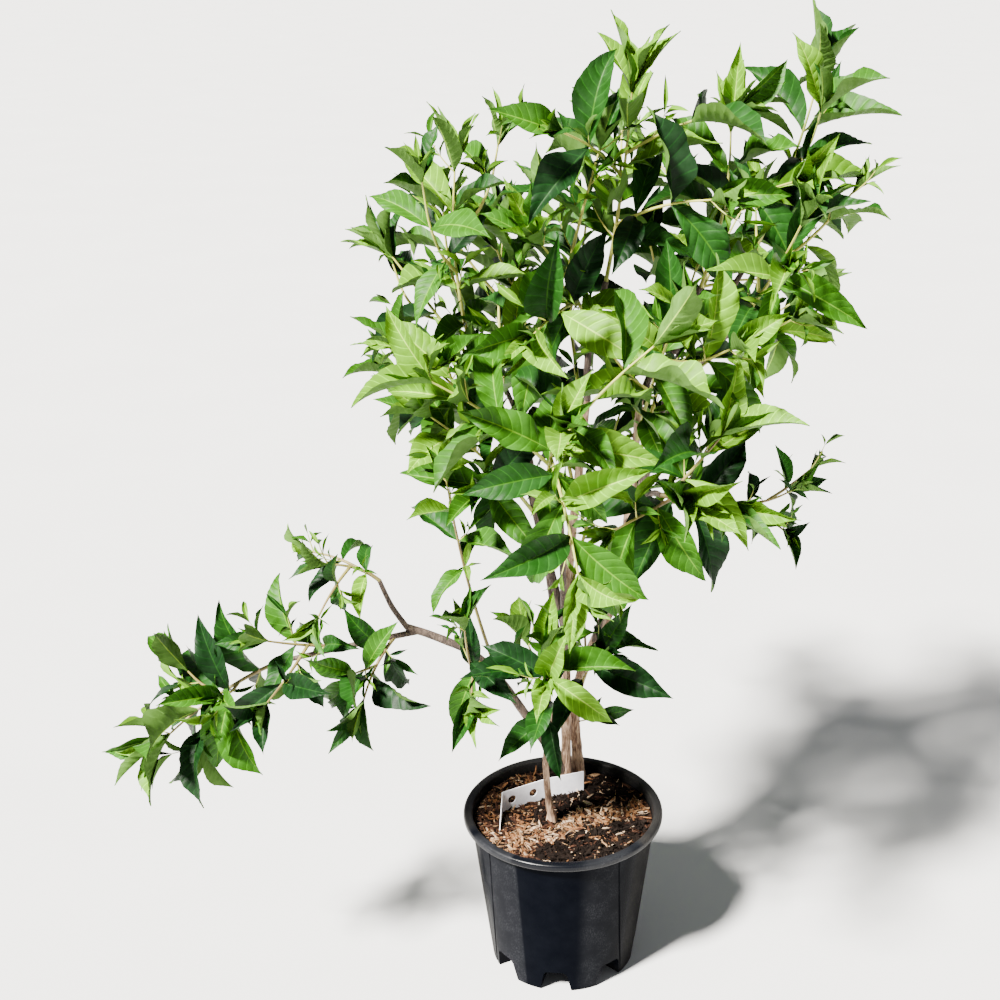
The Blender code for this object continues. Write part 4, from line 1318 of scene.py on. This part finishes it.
def tip_leaves(shoot, mass, leads, chance):
    """The upright young leaves at a shoot's tip, larger where the shoot leads its mass."""
    root, way = place_on(shoot.points, 1)
    turn = chance.uniform(0, math.tau)
    leaves = []
    for k in range(chance.choice(TIP_LEAVES)):
        place = PairPlace(root, way, turn + k * math.pi * 0.55, 0, 1.1)
        length = mass.leaf * chance.uniform(*(LEADER_TIP_SIZES if leads else TIP_SIZES))
        leaves.append(leaf_at(place, 0, length, 0.35 * chance.uniform(0.5, 1.6)))
    return leaves


def side_sprig(place, mass, chance):
    """A short shoot from the fork of a pair of leaves, and its few small leaves."""
    out = across(place.way, place.turn + math.pi / 2 + chance.uniform(-0.6, 0.6))
    way = (place.way * 0.8 + out).normalized()
    length = chance.uniform(*SPRIG_LENGTH)
    end = place.root + (way + UP * 0.3).normalized() * length
    sprig = Shoot(arc_through(place.root, place.root + way * length * 0.5, end, SIDE_STEPS), *SPRIG_RADII)
    leaves = []
    turn = chance.uniform(0, math.pi)
    for share in (0.55, 1.0):
        root, here = place_on(sprig.points, share)
        for side in range(2):
            spot = PairPlace(root, here, turn + side * math.pi + share * 3, 0, 0.4 + 0.5 * share)
            size = mass.leaf * chance.uniform(*SPRIG_LEAF_SIZES) * (1.0 if share == 1 else 0.8)
            leaves.append(leaf_at(spot, 0, size, BEND_DOWN * chance.uniform(0.5, 1.5)))
    return sprig, leaves


def stem_leaves(group, lines):
    """A short twig off a stem and the leaves at its end, numbered like a mass's other shoots."""
    foot = place_on(lines[group.stem], group.at)[0]
    root = Vector(group.root)
    leaves = []
    for tip in group.tips:
        reach = Vector(tip) - root
        along = reach.normalized()
        normal = (LIGHT_FROM - along * LIGHT_FROM.dot(along)).normalized()
        leaves.append(Leaf(root, along, normal, reach.length, BEND_DOWN * 0.4))
    return 1, Shoot([foot, foot.lerp(root, 0.5), root], *STEM_TWIG_RADII), leaves


def grow_finer(mass, shoots, chance):
    """What a mass's solid leaves out: young tips and sprigs that stay in the mass's space."""
    leader = shoots[0][1]
    finer = []
    for k, shoot, _ in shoots:
        leaves = tip_leaves(shoot, mass, k == 0, chance)
        sprigs = []
        for place in pair_places(shoot, mass, k, chance):
            if chance.random() < SPRIG_CHANCE:
                sprig, small = side_sprig(place, mass, chance)
                sprigs.append(sprig)
                leaves.extend(small)
        finer.append((sprigs, [leaf for leaf in leaves if in_space(mass, leader, leaf)]))
    return finer


# Leafy masses


def leaf_materials():
    """The blades' greens, the palest ribs, the underside, and the veins. A rib has the next blade's green."""
    blades = [leaf_material(name, colour, 0.45, 0.1) for name, colour in BLADES]
    rib = leaf_material("leaf_rib", (0.22, 0.36, 0.03), 0.5, 0.1)
    underside = leaf_material("leaf_underside", (0.055, 0.125, 0.018), 0.6, 0.06)
    veins = []
    for name, colour in BLADES:
        veins.append(leaf_material(name + "_vein", tuple(c * VEIN_PALER for c in colour), 0.5, 0.1))
    return [*blades, rib, underside, *veins]


def brightness(shoot, chance):
    """How bright a shoot's greens are: brighter high up, partly as younger growth and partly as painted
    sunlight, and darker out on the low bough as painted shade.
    """
    tip = shoot.points[-1]
    by_place = (tip.z - MIDDLE_HEIGHT) * YOUNG_AND_SUNLIT_UP + min(0, tip.x - FAR_LEFT) * PAINTED_SHADE_FAR_LEFT
    return BRIGHT_MIDDLE + by_place + chance.uniform(-SHOOT_SPREAD, SHOOT_SPREAD)


def tint_of(bright, leaf, share, chance):
    """Which green a leaf has: brighter in front, with deeper greens further back as painted shade, and
    brighter as a young leaf at a shoot's tip.
    """
    bright += (share - 0.5) * BRIGHTER_YOUNG - leaf.root.y * PAINTED_SHADE_TO_BACK
    bright += chance.uniform(-LEAF_SPREAD, LEAF_SPREAD)
    return min(len(BLADES) - 1, max(0, round(bright)))


def twig_surface(twig, slender, slot):
    """The points and faces of a twig."""
    places, shares = walk(twig.points, TWIG_STEP)
    widths = (twig.foot_radius + (twig.tip_radius * 0.7 - twig.foot_radius) * shares) * slender
    return rings_along(places, widths, TWIG_SIDES), ring_faces(len(places), TWIG_SIDES, slot)


def build_mass(mass, shoots, low, grids, greens, woods):
    """A mass's leaves as one mesh and its twigs as another. low holds shoots that get nothing finer."""
    chance = random.Random(mass.seed + FINER_SEED)
    leaves, creases, twigs = [], [], []
    finer = grow_finer(mass, shoots, chance) + [([], [])] * len(low)
    for (_, shoot, grown), (sprigs, small) in zip([*shoots, *low], finer):
        bright = brightness(shoot, chance)
        for number, leaf in enumerate((*grown, *small)):
            grid = grids[0] if leaf.length > SMALL_LEAF else grids[1]
            tint = tint_of(bright, leaf, min(1, number / max(1, len(grown))), chance)
            young = number >= len(grown)
            leaves.append((leaf_surface(leaf, grid, young, chance), grid.faces[tint]))
            creases.append(grid.veins < 0)
        twigs.append(twig_surface(shoot, TWIG_SLENDER, 0 if mass.tip[2] < YOUNG_WOOD_FROM else 1))
        twigs.extend(twig_surface(sprig, 1.0, 1) for sprig in sprigs)
    stem = mass.name.removesuffix("_shoots")
    blades = joined_mesh(stem + "_leaves", leaves, 75, creases)
    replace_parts(ride(link(stem + "_leaves", blades, greens)), mass.name)
    ride(link(stem + "_twigs", joined_mesh(stem + "_twigs", twigs, 60), woods))


def build_plant():
    """Every limb and mass."""
    lines, limbs = build_limbs()
    placed = []
    twigs = {mass.name: grow_twigs(mass, lines, limbs, placed) for mass in MASSES}
    grown = {mass.name: grow_leaves(mass, twigs[mass.name], limbs, placed) for mass in MASSES}
    grids = (leaf_grid(veined_rows()), leaf_grid(plain_rows()))
    greens = leaf_materials()
    woods = [
        twig_material("twig_wood", (0.15, 0.1, 0.035), (0.22, 0.2, 0.04)),
        twig_material("twig_green", (0.22, 0.27, 0.03), (0.42, 0.40, 0.07)),
    ]
    for mass in MASSES:
        low = [stem_leaves(group, lines) for group in STEM_LEAVES if group.mass == mass.name]
        build_mass(mass, grown[mass.name], low, grids, greens, woods)


# Floor, light and camera


def build_stage():
    """A wide pale floor."""
    bm = bmesh.new()
    bmesh.ops.create_grid(bm, x_segments=1, y_segments=1, size=FLOOR_SIZE)
    finish, tree, shader, place = new_material("floor", 0.9)
    dress(tree, shader, ramp(tree, noise_at(tree, place, 3, 2), (0.3, (0.52,) * 3), (0.7, (0.54,) * 3)))
    floor = link("floor", mesh_from(bm, "floor"), [finish])
    floor.location.z = -FLOOR_DROP


def light_scene():
    """A warm sun from the upper left, and a pale sky."""
    lamp = bpy.data.lights.new("sun", "SUN")
    lamp.angle = SUN_ANGLE
    lamp.energy = SUN_STRENGTH
    lamp.color = (1.0, 0.965, 0.9)
    link("sun", lamp).rotation_euler = SUN_FROM.to_track_quat("Z", "Y").to_euler()
    world = bpy.data.worlds.new("sky")
    world.use_nodes = True
    sky = world.node_tree.nodes["Background"].inputs
    sky["Color"].default_value = (0.93, 0.96, 1.0, 1)
    sky["Strength"].default_value = SKY_STRENGTH
    bpy.context.scene.world = world


def place_camera():
    """The photograph's view: level from side to side and pitched down, with the pot right of the middle."""
    camera = bpy.data.cameras.new("camera")
    camera.lens = CAMERA_LENS
    camera.sensor_width = CAMERA_SENSOR
    camera.shift_x = CAMERA_SHIFT
    obj = link("camera", camera)
    obj.location = CAMERA_PLACE
    obj.rotation_euler = (math.pi / 2 - CAMERA_PITCH, 0, 0)
    bpy.context.scene.camera = obj


place_camera()
light_scene()
build_stage()
build_pot()
build_mulch()
refinish("plant_tag", tag_material())
build_plant()
